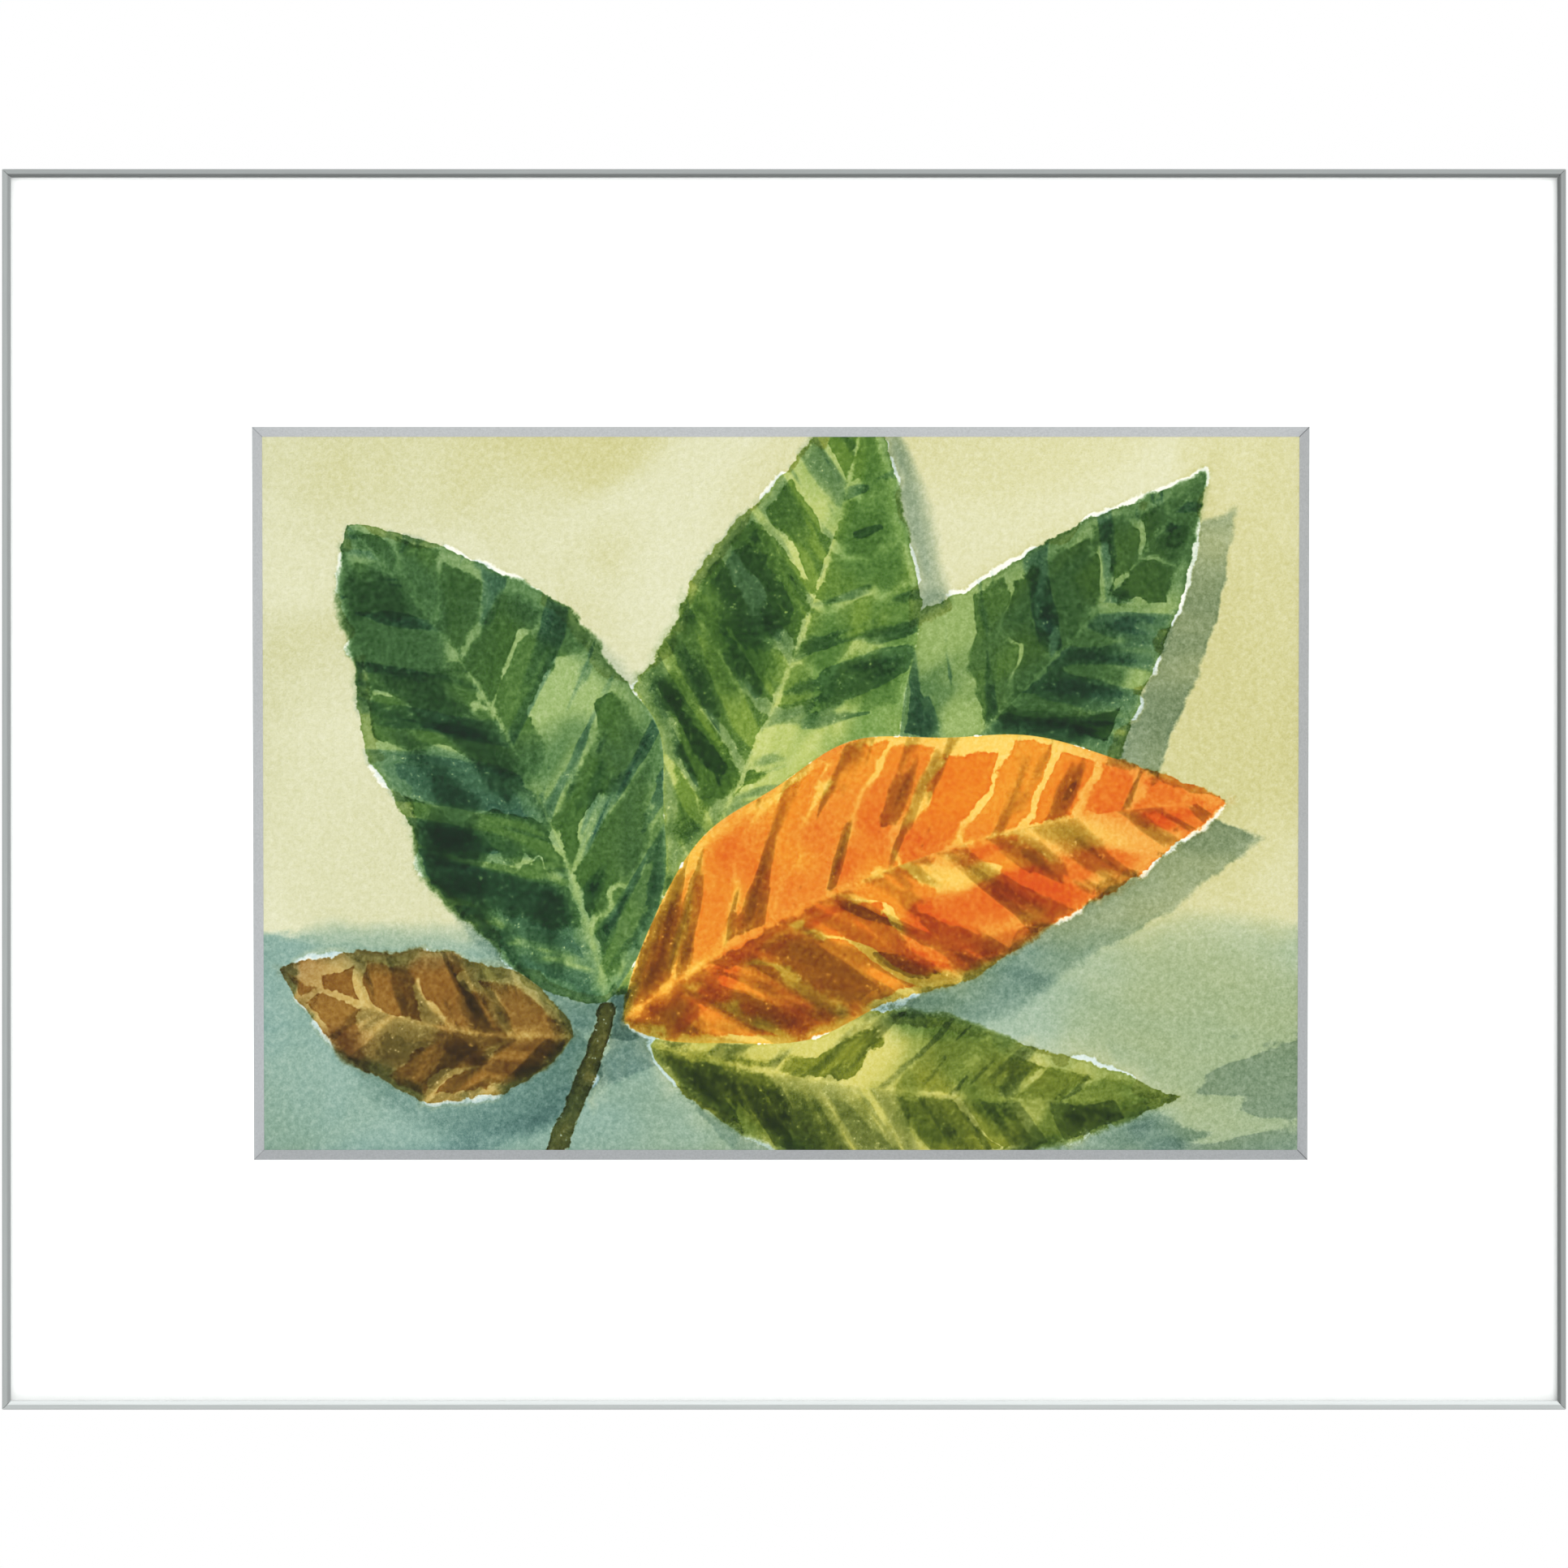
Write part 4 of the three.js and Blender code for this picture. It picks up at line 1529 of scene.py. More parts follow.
@dataclass(frozen=True)
class Rails:
    """The four mitred rails of the aluminium frame."""

    layout: Layout
    wall: float = 1.0 * MM
    lip_across: float = 2.0 * MM
    lip_thickness: float = 1.2 * MM
    chamfer_across: float = 0.9 * MM
    chamfer_depth: float = 0.6 * MM
    channel_across: float = 10 * MM
    channel_depth: float = 4.9 * MM
    web: float = 1.2 * MM
    return_lip: float = 1.2 * MM
    slot: float = 4.6 * MM
    arris: float = 0.12 * MM
    joint: float = 0.06 * MM
    same_plane: float = 1e-7
    dark: tuple[float, float, float] = (184, 187, 187)
    light: tuple[float, float, float] = (204, 207, 207)
    roughness: tuple[float, float] = (0.36, 0.44)
    smooth_below: float = 20.0

    def section(self) -> list[tuple[float, float]]:
        """Lists the section's corners, from the outer front one on.

        Returns:
            Each corner's distance across the rail's face and its depth.
        """
        depth = self.layout.size.y
        floor = depth - self.channel_depth
        web_front = floor - self.web
        under = depth - self.return_lip
        inside = self.channel_across - self.wall
        near = (self.channel_across - self.slot) / 2
        far = (self.channel_across + self.slot) / 2
        return [
            (0, 0),
            (self.lip_across - self.chamfer_across, 0),
            (self.lip_across, self.chamfer_depth),
            (self.lip_across, self.lip_thickness),
            (self.wall, self.lip_thickness),
            (self.wall, web_front),
            (self.channel_across, web_front),
            (self.channel_across, depth),
            (far, depth),
            (far, under),
            (inside, under),
            (inside, floor),
            (self.wall, floor),
            (self.wall, under),
            (near, under),
            (near, depth),
            (0, depth),
        ]

    def mitre(self, shape: bmesh.types.BMesh, end: int, length: float) -> None:
        """Cuts one end at 45 degrees and closes it.

        The cut leans a hair, so that the joint's line is open in front and shut behind.

        Args:
            shape: The rail, laid out at the top.
            end: The end, -1 or 1.
            length: The rail's outer length.
        """
        cut = bmesh.ops.bisect_plane(
            shape,
            geom=[*shape.verts, *shape.edges, *shape.faces],
            dist=self.same_plane,
            plane_co=(end * (length / 2 - self.joint), 0, 0),
            plane_no=(end, -self.joint / self.layout.size.y, -1),
            clear_outer=True,
        )
        bmesh.ops.edgenet_fill(shape, edges=only(cut["geom_cut"], bmesh.types.BMEdge))

    def shape(self, side: Side) -> bmesh.types.BMesh:
        """Builds one rail in place: a drawn length, softened, then mitred at both ends.

        Args:
            side: The rail's side.

        Returns:
            The shape.
        """
        length = self.layout.length(side)
        shape = bmesh.new()
        face = outline_face(shape, [(-length / 2, deep, -across) for across, deep in self.section()])
        thicken(shape, face, (length, 0, 0))
        lengthwise = [e for e in shape.edges if abs(e.verts[0].co.x - e.verts[1].co.x) > length / 2]
        soften(shape, lengthwise, self.arris)
        for end in (-1, 1):
            self.mitre(shape, end, length)
        bmesh.ops.recalc_face_normals(shape, faces=shape.faces)
        bmesh.ops.transform(shape, matrix=self.layout.to_side(side), verts=shape.verts)
        return shape

    def finish(self, side: Side, tone: float) -> bpy.types.Material:
        """Makes a rail's anodised finish, lightened or darkened for its side as painted light and shade.

        Args:
            side: The rail's side.
            tone: How much lighter or darker the rail is painted, as painted light and shade on its side.

        Returns:
            The material.
        """
        # The tone scales both colours: painted light and shade for this side of the frame.
        dark, light = (srgb(*(value * tone for value in shade)) for shade in (self.dark, self.light))
        grain = Grain.ALONG_X if side.is_level else Grain.ALONG_Z
        return Metal(f"satin_aluminium_{side.label}", dark, light, grain, self.roughness).make()

    def build(self, lit_tones: dict[Side, float]) -> None:
        """Makes the four rails.

        Args:
            lit_tones: How much lighter or darker each rail is painted, as painted light and shade on its
                side.
        """
        for side in Side:
            name = f"rail_{side.label}"
            finish = self.finish(side, lit_tones[side])
            shape = self.shape(side)
            add_piece(f"{name}_finished", shape, [finish], name, self.smooth_below)


@dataclass(frozen=True)
class WindowMat:
    """The mat board with its bevelled window, cut by hand a little out of true."""

    node: str = "window_mat"
    window_height: float = 169.0 * MM
    window_top_width: float = 243.8 * MM
    window_foot_width: float = 242.8 * MM
    shift_x: float = -0.75 * MM
    shift_z: float = -0.95 * MM
    arris: float = 0.04 * MM
    smooth_below: float = 20.0
    slope_normals: tuple[float, float] = (0.3, 0.9)

    def window_centre(self) -> Vector:
        """Gives the middle of the window on the mat's face."""
        low, _, centre = span(self.node)
        return Vector((centre.x + self.shift_x, low.y, centre.z + self.shift_z))

    def loop(
        self, shape: bmesh.types.BMesh, centre: Vector, foot_width: float, top_width: float, height: float
    ) -> list[bmesh.types.BMEdge]:
        """Adds a four-sided outline.

        Args:
            shape: The bmesh that it goes into.
            centre: Its middle.
            foot_width: The lower side's length.
            top_width: The upper side's length.
            height: Its height.

        Returns:
            Its edges.
        """
        corners = [(-foot_width, -1), (foot_width, -1), (top_width, 1), (-top_width, 1)]
        places = [centre + Vector((width / 2, 0, up * height / 2)) for width, up in corners]
        verts = [shape.verts.new(place) for place in places]
        return [shape.edges.new(pair) for pair in zip(verts, verts[1:] + verts[:1], strict=True)]

    def lean_bevel(self, rear: Iterable[bmesh.types.BMVert], depth: float) -> None:
        """Draws the window's back edge in by the mat's thickness, which makes a 45 degree bevel.

        Args:
            rear: The points on the mat's back.
            depth: The mat's thickness.
        """
        _, size, middle = span(self.node)
        centre = self.window_centre()
        for vert in rear:
            if abs(vert.co.x - middle.x) < size.x / 2 - 1 * MM:
                way_x = math.copysign(1, centre.x - vert.co.x)
                way_z = math.copysign(1, centre.z - vert.co.z)
                vert.co += Vector((way_x, 0, way_z)) * depth

    def shape(self) -> bmesh.types.BMesh:
        """Builds the mat: a ring between two outlines, thickened, its inner back edge drawn in.

        Returns:
            The shape, with material 1 on the window's bevel.
        """
        low, size, middle = span(self.node)
        middle.y = low.y
        shape = bmesh.new()
        outer = self.loop(shape, middle, size.x, size.x, size.z)
        widths = (self.window_foot_width, self.window_top_width)
        inner = self.loop(shape, self.window_centre(), *widths, self.window_height)
        ring = bmesh.ops.bridge_loops(shape, edges=[*outer, *inner])
        grown = bmesh.ops.extrude_face_region(shape, geom=ring["faces"])
        rear = only(grown["geom"], bmesh.types.BMVert)
        bmesh.ops.translate(shape, verts=rear, vec=(0, size.y, 0))
        self.lean_bevel(rear, size.y)
        bmesh.ops.recalc_face_normals(shape, faces=shape.faces)
        least, most = self.slope_normals
        for face in shape.faces:
            face.material_index = int(least < abs(face.normal.y) < most)
        soften(shape, shape.edges, self.arris, 1)
        return shape

    def build(self) -> None:
        """Makes the mat."""
        shades = (srgb(248, 249, 248), srgb(253, 254, 253), srgb(238, 238, 232))
        face = Board("mat_face", *shades, felt_depth=0.01 * MM, speck_share=0.1)
        halves = (self.window_foot_width / 2, self.window_top_width / 2, self.window_height / 2)
        # The core's finish paints the bevel grey, as shade on its slopes.
        core = CutCore(self.window_centre(), *halves)
        name, finishes = f"{self.node}_finished", [face.make(), core.make()]
        add_piece(name, self.shape(), finishes, self.node, self.smooth_below)


@dataclass(frozen=True)
class PaintedSheet:
    """The watercolour sheet behind the window."""

    node: str = "artwork_sheet"
    spray: Spray = field(default_factory=Spray)
    columns: int = 330
    rows: int = 232
    margin: float = 0.004
    front_foot: float = 0.3
    back_head: float = 0.26
    rim_foot: float = 0.268
    rim_pitch: float = 0.007
    rim_share: float = 0.6

    def shape(self) -> bmesh.types.BMesh:
        """Builds the sheet: a fine grid in front, a plain back and four thin edges.

        Returns:
            The shape, with its map.
        """
        low, size, centre = span(self.node)
        shape = bmesh.new()
        bmesh.ops.create_grid(shape, x_segments=self.columns, y_segments=self.rows, size=0.5)
        turn(shape, QUARTER_TURN, "X")
        bmesh.ops.scale(shape, vec=(size.x, 1, size.z), verts=shape.verts)
        move(shape, (centre.x, low.y, centre.z))
        rim = [edge for edge in shape.edges if edge.is_boundary]
        grown = bmesh.ops.extrude_edge_only(shape, edges=rim)["geom"]
        bmesh.ops.translate(shape, verts=only(grown, bmesh.types.BMVert), vec=(0, size.y, 0))
        rear_rim = [edge for edge in only(grown, bmesh.types.BMEdge) if edge.is_boundary]
        bmesh.ops.edgenet_fill(shape, edges=rear_rim)
        bmesh.ops.recalc_face_normals(shape, faces=shape.faces)
        self.lay_out(shape)
        return shape

    def strip(self, normal: Vector) -> tuple[float, float]:
        """Chooses a face's strip of the map: the tall one is the front's, and each edge has its own.

        Args:
            normal: The way the face looks.

        Returns:
            The heights of the strip's foot and head on the map.
        """
        if abs(normal.y) < 0.5:
            band = 2 * (abs(normal.x) > 0.5) + (normal.x + normal.z > 0)
            foot = self.rim_foot + self.rim_pitch * band
            return foot, foot + self.rim_pitch * self.rim_share
        if normal.y < 0:
            return self.front_foot, 1 - self.margin
        return self.margin, self.back_head

    def lay_out(self, shape: bmesh.types.BMesh) -> None:
        """Lays the faces on one square map, most of it for the painted front.

        Args:
            shape: The sheet.
        """
        low, size, _ = span(self.node)
        places = shape.loops.layers.uv.new(BAKE_MAP)
        inner = 1 - 2 * self.margin
        for face in shape.faces:
            foot, head = self.strip(face.normal)
            on_rim = abs(face.normal.y) < 0.5
            upright = on_rim and abs(face.normal.x) > 0.5
            for loop in face.loops:
                share = [(c - l) / s for c, l, s in zip(loop.vert.co, low, size, strict=True)]
                across = share[2] if upright else share[0]
                up = share[1] if on_rim else share[2]
                loop[places].uv = (self.margin + across * inner, foot + up * (head - foot))

    def store(self, mesh: bpy.types.Mesh, centre: Vector) -> None:
        """Stores the distances that the washes read on the sheet's points.

        Args:
            mesh: The sheet's mesh.
            centre: The sheet's middle.
        """
        places = np.empty(len(mesh.vertices) * 3, np.float32)
        mesh.vertices.foreach_get("co", places)
        places = (places.reshape(-1, 3) - np.array(centre)) / MM
        for name, values in self.spray.outlines(places[:, 0], places[:, 2]).items():
            kind, key = ("FLOAT_VECTOR", "vector") if values.ndim == 2 else ("FLOAT", "value")
            held = mesh.attributes.new(name, kind, "POINT")
            held.data.foreach_set(key, values.astype(np.float32).ravel())

    def build(self) -> None:
        """Makes the sheet with its painting."""
        _, _, centre = span(self.node)
        finish = PaintedPaper(self.spray, centre).make()
        piece = add_piece("painted_sheet", self.shape(), [finish], self.node)
        self.store(piece.data, centre)


@dataclass(frozen=True)
class Glazing:
    """The sheet of picture glass."""

    arris: float = 0.25 * MM

    def build(self) -> None:
        """Makes the glass, which lets the light through to the mat untouched."""
        shape = softened_box("glazing", self.arris)
        pane = add_piece("picture_glass", shape, [PictureGlass().make()], "glazing")
        pane.visible_shadow = False
        pane.visible_diffuse = False


@dataclass(frozen=True)
class Boards:
    """The mount board, its hinges and the hardboard back."""

    arris: float = 0.25 * MM

    def build(self) -> None:
        """Makes the back and dresses what is hidden in front of it."""
        shape = softened_box("backing_board", self.arris)
        add_piece("hardboard_back", shape, [Hardboard().make()], "backing_board")
        mount = Board("mount_board", srgb(236, 235, 226), srgb(244, 243, 236), srgb(210, 205, 190))
        shades = (srgb(240, 235, 220), srgb(248, 244, 232), srgb(214, 200, 170))
        hinge = Board("hinge_paper", *shades, felt_depth=0.02 * MM, speck_share=0.5)
        dress(["mount_board"], mount.make())
        dress(["paper_hinge_left", "paper_hinge_right"], hinge.make())
        dress(["mat_hinge_tape"], Linen().make())


@dataclass(frozen=True)
class SpringClips:
    """The bowed strips that press the boards forward."""

    thickness: float = 0.6 * MM
    length: float = 46 * MM
    corner: float = 2.4 * MM
    corner_steps: int = 6
    steps: int = 28
    dark: Colour = srgb(92, 95, 99)
    light: Colour = srgb(134, 137, 140)
    roughness: tuple[float, float] = (0.28, 0.42)

    def tip_corners(self, shape: bmesh.types.BMesh) -> list[bmesh.types.BMEdge]:
        """Finds the short edges through the strip's thickness at its two tips.

        Args:
            shape: The strip, bowed about Z.

        Returns:
            The edges.
        """
        found = []
        for edge in shape.edges:
            start, end = (vert.co for vert in edge.verts)
            at_tip = all(abs(abs(point.x) - self.length / 2) < 1 * MM for point in (start, end))
            square = abs(start.z - end.z) < SAME_PLACE
            if at_tip and square and edge.calc_length() < 1.5 * self.thickness:
                found.append(edge)
        return found

    def shape(self, node: str) -> bmesh.types.BMesh:
        """Builds one clip in place: its end, spun about the bow's centre.

        Args:
            node: The clip's CAD node.

        Returns:
            The shape.
        """
        low, size, centre = span(node)
        side = min(size.x, size.z) / 2
        rise = size.y - self.thickness
        half = self.length / 2
        radius = (half * half + rise * rise) / (2 * rise)
        sweep = math.asin(half / radius)
        hub = Vector((0, rise - radius, 0))
        inner, outer = radius, radius + self.thickness
        outline = [(0, inner, -side), (0, outer, -side), (0, outer, side), (0, inner, side)]
        shape = bmesh.new()
        end = outline_face(shape, outline)
        turn(shape, sweep, "Z")
        move(shape, hub)
        bmesh.ops.spin(
            shape,
            geom=[end, *end.edges, *end.verts],
            cent=hub,
            axis=(0, 0, 1),
            angle=-2 * sweep,
            steps=self.steps,
            use_merge=False,
        )
        bmesh.ops.recalc_face_normals(shape, faces=shape.faces)
        soften(shape, self.tip_corners(shape), self.corner, self.corner_steps)
        if size.z > size.x:
            turn(shape, QUARTER_TURN, "Y")
        move(shape, (centre.x, low.y, centre.z))
        return shape

    def build(self, nodes: Iterable[str]) -> None:
        """Makes the clips.

        Args:
            nodes: The clips' CAD nodes.
        """
        finishes = {
            grain: Metal(
                f"spring_steel_{grain.name.lower()}", self.dark, self.light, grain, self.roughness
            ).make()
            for grain in (Grain.ALONG_X, Grain.ALONG_Z)
        }
        for node in nodes:
            _, size, _ = span(node)
            grain = Grain.ALONG_Z if size.z > size.x else Grain.ALONG_X
            add_piece(f"{node}_finished", self.shape(node), [finishes[grain]], node)


@dataclass(frozen=True)
class CornerFittings:
    """The angles, plates and slotted set screws that lock the mitres."""

    slot_width: float = 0.7 * MM
    slot_depth: float = 1.0 * MM
    chamfer: float = 0.3 * MM
    sides: int = 36

    def screw(self, node: str) -> bmesh.types.BMesh:
        """Builds one set screw in place, with a chamfered rim and a slot cut across it.

        Args:
            node: The screw's CAD node.

        Returns:
            The shape.
        """
        _, size, centre = span(node)
        radius, rear = size.x / 2, size.y / 2
        shape = bmesh.new()
        bmesh.ops.create_cone(
            shape, cap_ends=True, segments=self.sides, radius1=radius, radius2=radius, depth=size.y
        )
        turn(shape, -QUARTER_TURN, "X")
        rim = [e for e in shape.edges if all(abs(v.co.y - rear) < SAME_PLACE for v in e.verts)]
        soften(shape, rim, self.chamfer, 1)
        cutter = cube((4 * radius, 2 * self.slot_depth, self.slot_width))
        turn(cutter, QUARTER_TURN / 2, "Y")
        move(cutter, (0, rear, 0))
        cut = carved(shape, cutter)
        move(cut, centre)
        return cut

    def build(self) -> None:
        """Makes the screws and dresses the angles and plates."""
        zinc = Metal("zinc_plate", srgb(150, 153, 154), srgb(192, 194, 192), Grain.NONE, (0.3, 0.5)).make()
        dress([*nodes_like("corner_angle"), *nodes_like("corner_plate")], zinc)
        for node in nodes_like("set_screw"):
            add_piece(f"{node}_finished", self.screw(node), [zinc], node)


@dataclass(frozen=True)
class Hanger:
    """The sawtooth strip snapped into the top rail."""

    layout: Layout
    node: str = "sawtooth_hanger"
    thickness: float = 0.9 * MM
    height: float = 13 * MM
    corner: float = 2 * MM
    corner_steps: int = 6
    pitch: float = 4 * MM
    tooth: float = 2 * MM
    notches_each_side: int = 5
    foot_offset: float = 19 * MM
    foot_width: float = 6 * MM
    foot_thickness: float = 0.8 * MM
    foot_across: float = 5.8 * MM
    foot_toe: float = 4.4 * MM
    arris: float = 0.14 * MM

    def outline(self, half: float) -> list[tuple[float, float]]:
        """Lists the strip's corners, with a row of notches along its foot.

        Args:
            half: Half the strip's length.

        Returns:
            Each corner's place along the strip and its height above the foot.
        """
        count = self.notches_each_side
        corners = [(-half, 0.0)]
        for i in range(-count, count + 1):
            corners += [((i - 0.5) * self.pitch, 0.0), (i * self.pitch, self.tooth)]
        corners += [((count + 0.5) * self.pitch, 0.0), (half, 0.0)]
        return [*corners, (half, self.height), (-half, self.height)]

    def strip(self) -> bmesh.types.BMesh:
        """Builds the toothed strip and its two hooked feet, in place.

        Returns:
            The shape.
        """
        low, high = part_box(self.node)
        front = high.y - self.thickness
        foot = high.z - self.height
        shape = bmesh.new()
        outline = self.outline((high.x - low.x) / 2)
        face = outline_face(shape, [(x, front, foot + z) for x, z in outline])
        thicken(shape, face, (0, self.thickness, 0))
        at_top = [e for e in shape.edges if all(abs(v.co.z - high.z) < SAME_PLACE for v in e.verts)]
        upper = [edge for edge in at_top if edge.calc_length() < 2 * self.thickness]
        soften(shape, upper, self.corner, self.corner_steps)
        soften(shape, shape.edges, self.arris, 1)
        for side in (-1, 1):
            self.add_foot(shape, side * self.foot_offset, low.y, front + self.thickness / 2)
        return shape

    def add_foot(self, shape: bmesh.types.BMesh, x: float, toe_front: float, root: float) -> None:
        """Adds one bent foot that goes through the channel's slot.

        Args:
            shape: The strip.
            x: The foot's middle along the strip.
            toe_front: The depth of its toe's front.
            root: The depth where it starts, inside the strip.
        """
        top = self.layout.high.z
        near, far = self.foot_across - self.foot_toe, self.foot_across
        toe_rear = toe_front + self.foot_thickness
        hook = [
            (far, root),
            (far - self.foot_thickness, root),
            (far - self.foot_thickness, toe_rear),
            (near, toe_rear),
            (near, toe_front),
            (far, toe_front),
        ]
        start = x - self.foot_width / 2
        face = outline_face(shape, [(start, depth, top - across) for across, depth in hook])
        thicken(shape, face, (self.foot_width, 0, 0))

    def build(self) -> None:
        """Makes the hanger."""
        finish = Metal("zinc_strip", srgb(158, 160, 160), srgb(200, 201, 198), Grain.ALONG_X, (0.3, 0.48))
        add_piece("sawtooth_strip", self.strip(), [finish.make()], self.node)


@dataclass(frozen=True)
class Bumpers:
    """The rubber dots at the foot of the back."""

    rim: float = 0.9 * MM
    flat_radius: float = 2.5 * MM
    steps: int = 8
    sides: int = 48

    def outline(self, low: Vector, high: Vector) -> list[tuple[float, float]]:
        """Lists half a dot's outline, from its foot's middle round to its top.

        Args:
            low: The dot's lowest corner.
            high: Its highest corner.

        Returns:
            Each point's distance from the axis and its depth.
        """
        radius, shoulder = (high.x - low.x) / 2, low.y + self.rim
        points = [(0.0, low.y), (radius, low.y), (radius, shoulder)]
        for i in range(1, self.steps + 1):
            angle = i / self.steps * QUARTER_TURN
            across = self.flat_radius + (radius - self.flat_radius) * math.cos(angle)
            points.append((across, shoulder + (high.y - shoulder) * math.sin(angle)))
        return [*points, (0.0, high.y)]

    def shape(self, node: str) -> bmesh.types.BMesh:
        """Builds one dot in place: half its outline, spun about its axis.

        Args:
            node: The dot's CAD node.

        Returns:
            The shape.
        """
        low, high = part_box(node)
        centre = (low + high) / 2
        shape = bmesh.new()
        verts = [shape.verts.new((centre.x + across, y, centre.z)) for across, y in self.outline(low, high)]
        edges = [shape.edges.new(pair) for pair in zip(verts, verts[1:], strict=False)]
        bmesh.ops.spin(
            shape,
            geom=[*verts, *edges],
            cent=(centre.x, 0, centre.z),
            axis=(0, 1, 0),
            angle=4 * QUARTER_TURN,
            steps=self.sides,
            use_merge=True,
        )
        bmesh.ops.remove_doubles(shape, verts=shape.verts, dist=SAME_PLACE)
        bmesh.ops.recalc_face_normals(shape, faces=shape.faces)
        return shape

    def build(self) -> None:
        """Makes both dots."""
        finish = Rubber().make()
        for node in nodes_like("bumper_"):
            add_piece(f"{node}_finished", self.shape(node), [finish], node)


# ----------------------------------------------------------------------------------------------
# Studio
# ----------------------------------------------------------------------------------------------


def grey(level: float, tint: Sequence[float] = (1.0, 1.0, 1.0)) -> Colour:
    """Gives a linear grey, with a slight tint where one is named."""
    return (level * tint[0], level * tint[1], level * tint[2], 1.0)


@dataclass(frozen=True)
class Lamp:
    """One large soft light, aimed at the picture."""

    name: str
    place: tuple[float, float, float]
    width: float
    power: float


class Way(Enum):
    """A way to look from the picture, by its place among a direction's three numbers."""

    SIDEWAYS = 0
    BACK = 1
    UP = 2


@dataclass(frozen=True)
class Wall:
    """A grey that gloss sees one way, from where it starts to where it is full, as shares of that way."""

    way: Way
    starts: float
    full: float
    tone: float


@dataclass(frozen=True)
class Floor:
    """A wide pale floor well below the picture."""

    drop: float = 0.8
    reach: float = 7.0
    glow: float = 0.4
    dark: Colour = srgb(238, 238, 238)
    light: Colour = srgb(244, 244, 244)

    def build(self, foot: float) -> None:
        """Lays the floor.

        Args:
            foot: The height of the picture's lowest point.
        """
        shape = bmesh.new()
        bmesh.ops.create_grid(shape, x_segments=1, y_segments=1, size=self.reach)
        move(shape, (0, 0, foot - self.drop))
        floor = add_object("floor", shape)
        surface = Surface("pale_floor")
        bench = surface.bench
        tone = bench.noise(bench.place_mm(), 0.004, detail=3.0)
        inputs = {
            "Base Color": bench.mix(tone, self.dark, self.light),
            "Roughness": 0.9,
            "Specular IOR Level": 0.0,
            "Emission Color": grey(1.0),
            "Emission Strength": self.glow,
        }
        floor.data.materials.append(surface.lay_on(inputs))
        floor.visible_glossy = False


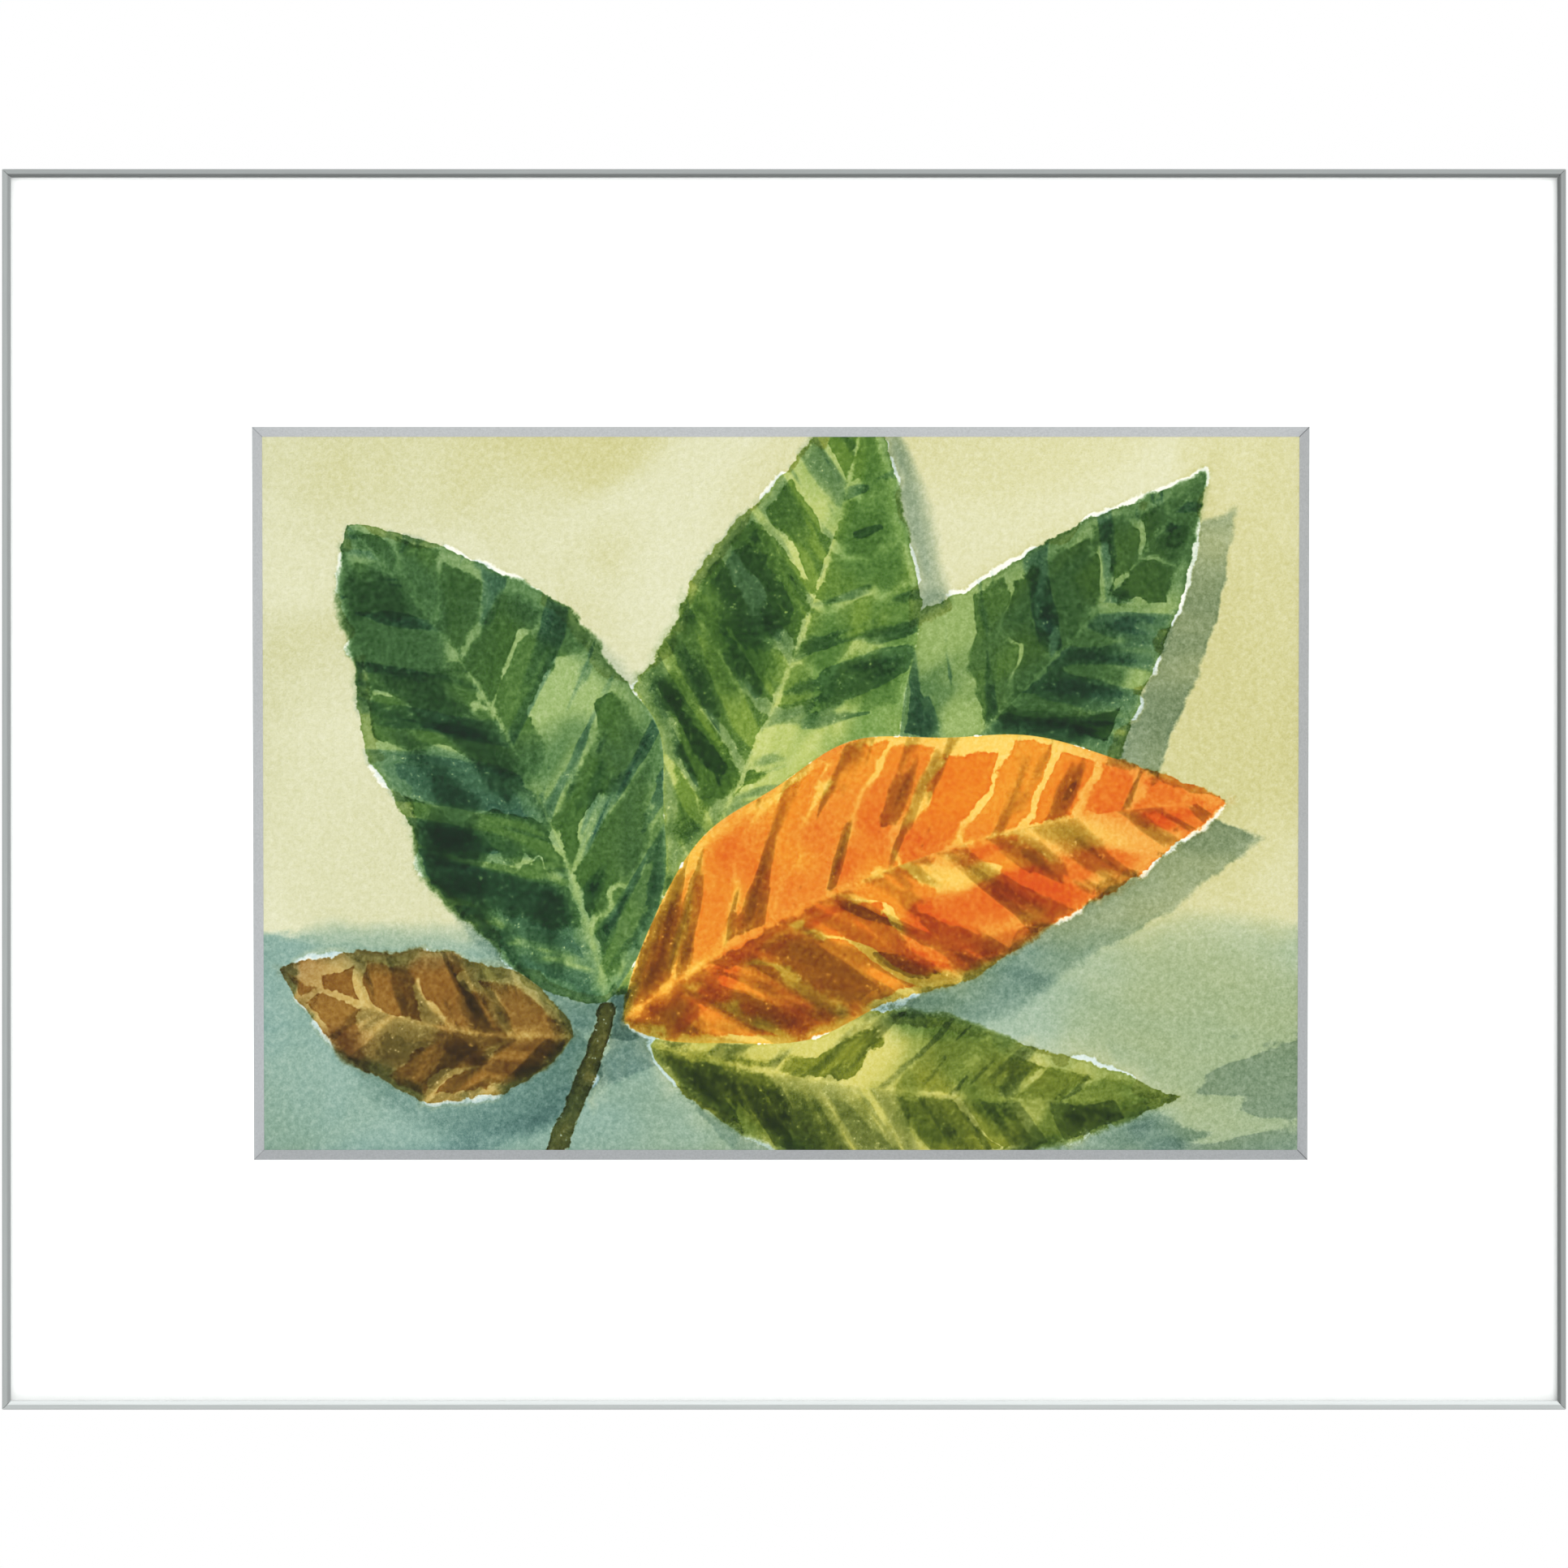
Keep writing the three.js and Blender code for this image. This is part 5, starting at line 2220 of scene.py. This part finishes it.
@dataclass(frozen=True)
class Studio:
    """The floor, the lights, the bright surroundings and the camera."""

    layout: Layout
    frame_pixels: float = 1927
    image_pixels: float = 1932
    rise_pixels: float = 6.5
    distance: float = 3.0
    far_limit: float = 100.0
    bounces: int = 4
    soft_bounces: int = 1
    lamps: tuple[Lamp, ...] = (
        Lamp("key_right", (0.5, -2.3, 0.0), 1.4, 24.5),
        Lamp("fill_left", (-0.5, -2.4, 0.2), 1.4, 12.5),
        Lamp("back_fill", (0.6, 1.9, 0.7), 1.4, 22.0),
    )
    front_tone: Colour = (0.74, 0.76, 0.75, 1.0)
    wall_tint: tuple[float, float, float] = (1.0, 1.02, 1.01)
    walls: tuple[Wall, ...] = (
        Wall(Way.SIDEWAYS, 0.3, 0.85, 0.5),
        Wall(Way.SIDEWAYS, -0.3, -0.85, 0.22),
        Wall(Way.UP, 0.3, 0.85, 1.2),
        Wall(Way.UP, -0.3, -0.85, 0.22),
        Wall(Way.BACK, 0.25, 0.6, 0.9),
    )
    soft_left: float = 0.34
    soft_right: float = 0.65
    soft_reach: float = 0.8

    def build(self) -> None:
        """Sets the studio up."""
        Floor().build(self.layout.low.z)
        for lamp in self.lamps:
            self.add_lamp(lamp)
        self.add_world()
        self.add_camera()
        scene = bpy.context.scene
        scene.view_settings.view_transform = "Standard"
        scene.cycles.max_bounces = self.bounces
        scene.cycles.diffuse_bounces = self.soft_bounces

    def add_lamp(self, lamp: Lamp) -> None:
        """Adds one area light that faces the picture's middle.

        Args:
            lamp: The light.
        """
        data = bpy.data.lights.new(lamp.name, "AREA")
        data.shape = "DISK"
        data.size = lamp.width
        data.energy = lamp.power
        held = bpy.data.objects.new(lamp.name, data)
        held.location = lamp.place
        middle = (self.layout.low + self.layout.high) / 2
        held.rotation_euler = (middle - held.location).to_track_quat("-Z", "Y").to_euler()
        held.visible_camera = False
        held.visible_glossy = False
        bpy.context.scene.collection.objects.link(held)

    def add_world(self) -> None:
        """Surrounds the picture with white to the eye, soft light, and grey walls that gloss sees."""
        world = bpy.data.worlds.new("studio")
        world.use_nodes = True
        world.cycles.sampling_method = "NONE"
        bpy.context.scene.world = world
        world.node_tree.nodes.clear()
        bench = Bench(world.node_tree)
        ray = bench.add("ShaderNodeLightPath").outputs
        ways = bench.parts(bench.add("ShaderNodeTexCoord").outputs["Generated"])
        gloss: Input = self.front_tone
        for wall in self.walls:
            reach = bench.remap(ways[wall.way.value], wall.starts, wall.full)
            gloss = bench.mix(reach, gloss, grey(wall.tone, self.wall_tint))
        rightward = bench.remap(ways[Way.SIDEWAYS.value], -self.soft_reach, self.soft_reach)
        soft = bench.mix(rightward, grey(self.soft_left), grey(self.soft_right))
        colour = bench.mix(ray["Is Glossy Ray"], soft, gloss)
        colour = bench.mix(ray["Is Camera Ray"], colour, grey(1.0))
        background = bench.add("ShaderNodeBackground", {"Color": colour, "Strength": 1.0})
        bench.add("ShaderNodeOutputWorld", {"Surface": background.outputs[0]})

    def add_camera(self) -> None:
        """Places the camera straight in front, so that the frame fills the picture's width."""
        data = bpy.data.cameras.new("camera")
        held = bpy.data.objects.new("camera", data)
        bpy.context.scene.collection.objects.link(held)
        seen = self.layout.size.x * self.image_pixels / self.frame_pixels
        data.lens = data.sensor_width * self.distance / seen
        data.clip_end = self.far_limit
        middle = self.layout.front_centre
        rise = seen * self.rise_pixels / self.image_pixels
        held.location = (middle.x, middle.y - self.distance, middle.z + rise)
        held.rotation_euler = (QUARTER_TURN, 0, 0)
        bpy.context.scene.camera = held


def main() -> None:
    """Builds the picture piece by piece, then its studio."""
    logging.basicConfig(level=logging.INFO, format="%(name)s: %(message)s")
    layout = Layout.from_frame()
    # The factors paint light and shade into the rails: the bottom one lighter, the right one darker.
    Rails(layout).build({Side.TOP: 1.02, Side.RIGHT: 0.96, Side.BOTTOM: 1.16, Side.LEFT: 1.07})
    Glazing().build()
    WindowMat().build()
    PaintedSheet().build()
    Boards().build()
    SpringClips().build(nodes_like("spring_clip"))
    CornerFittings().build()
    Hanger(layout).build()
    Bumpers().build()
    Studio(layout).build()


if __name__ == "__main__":
    main()
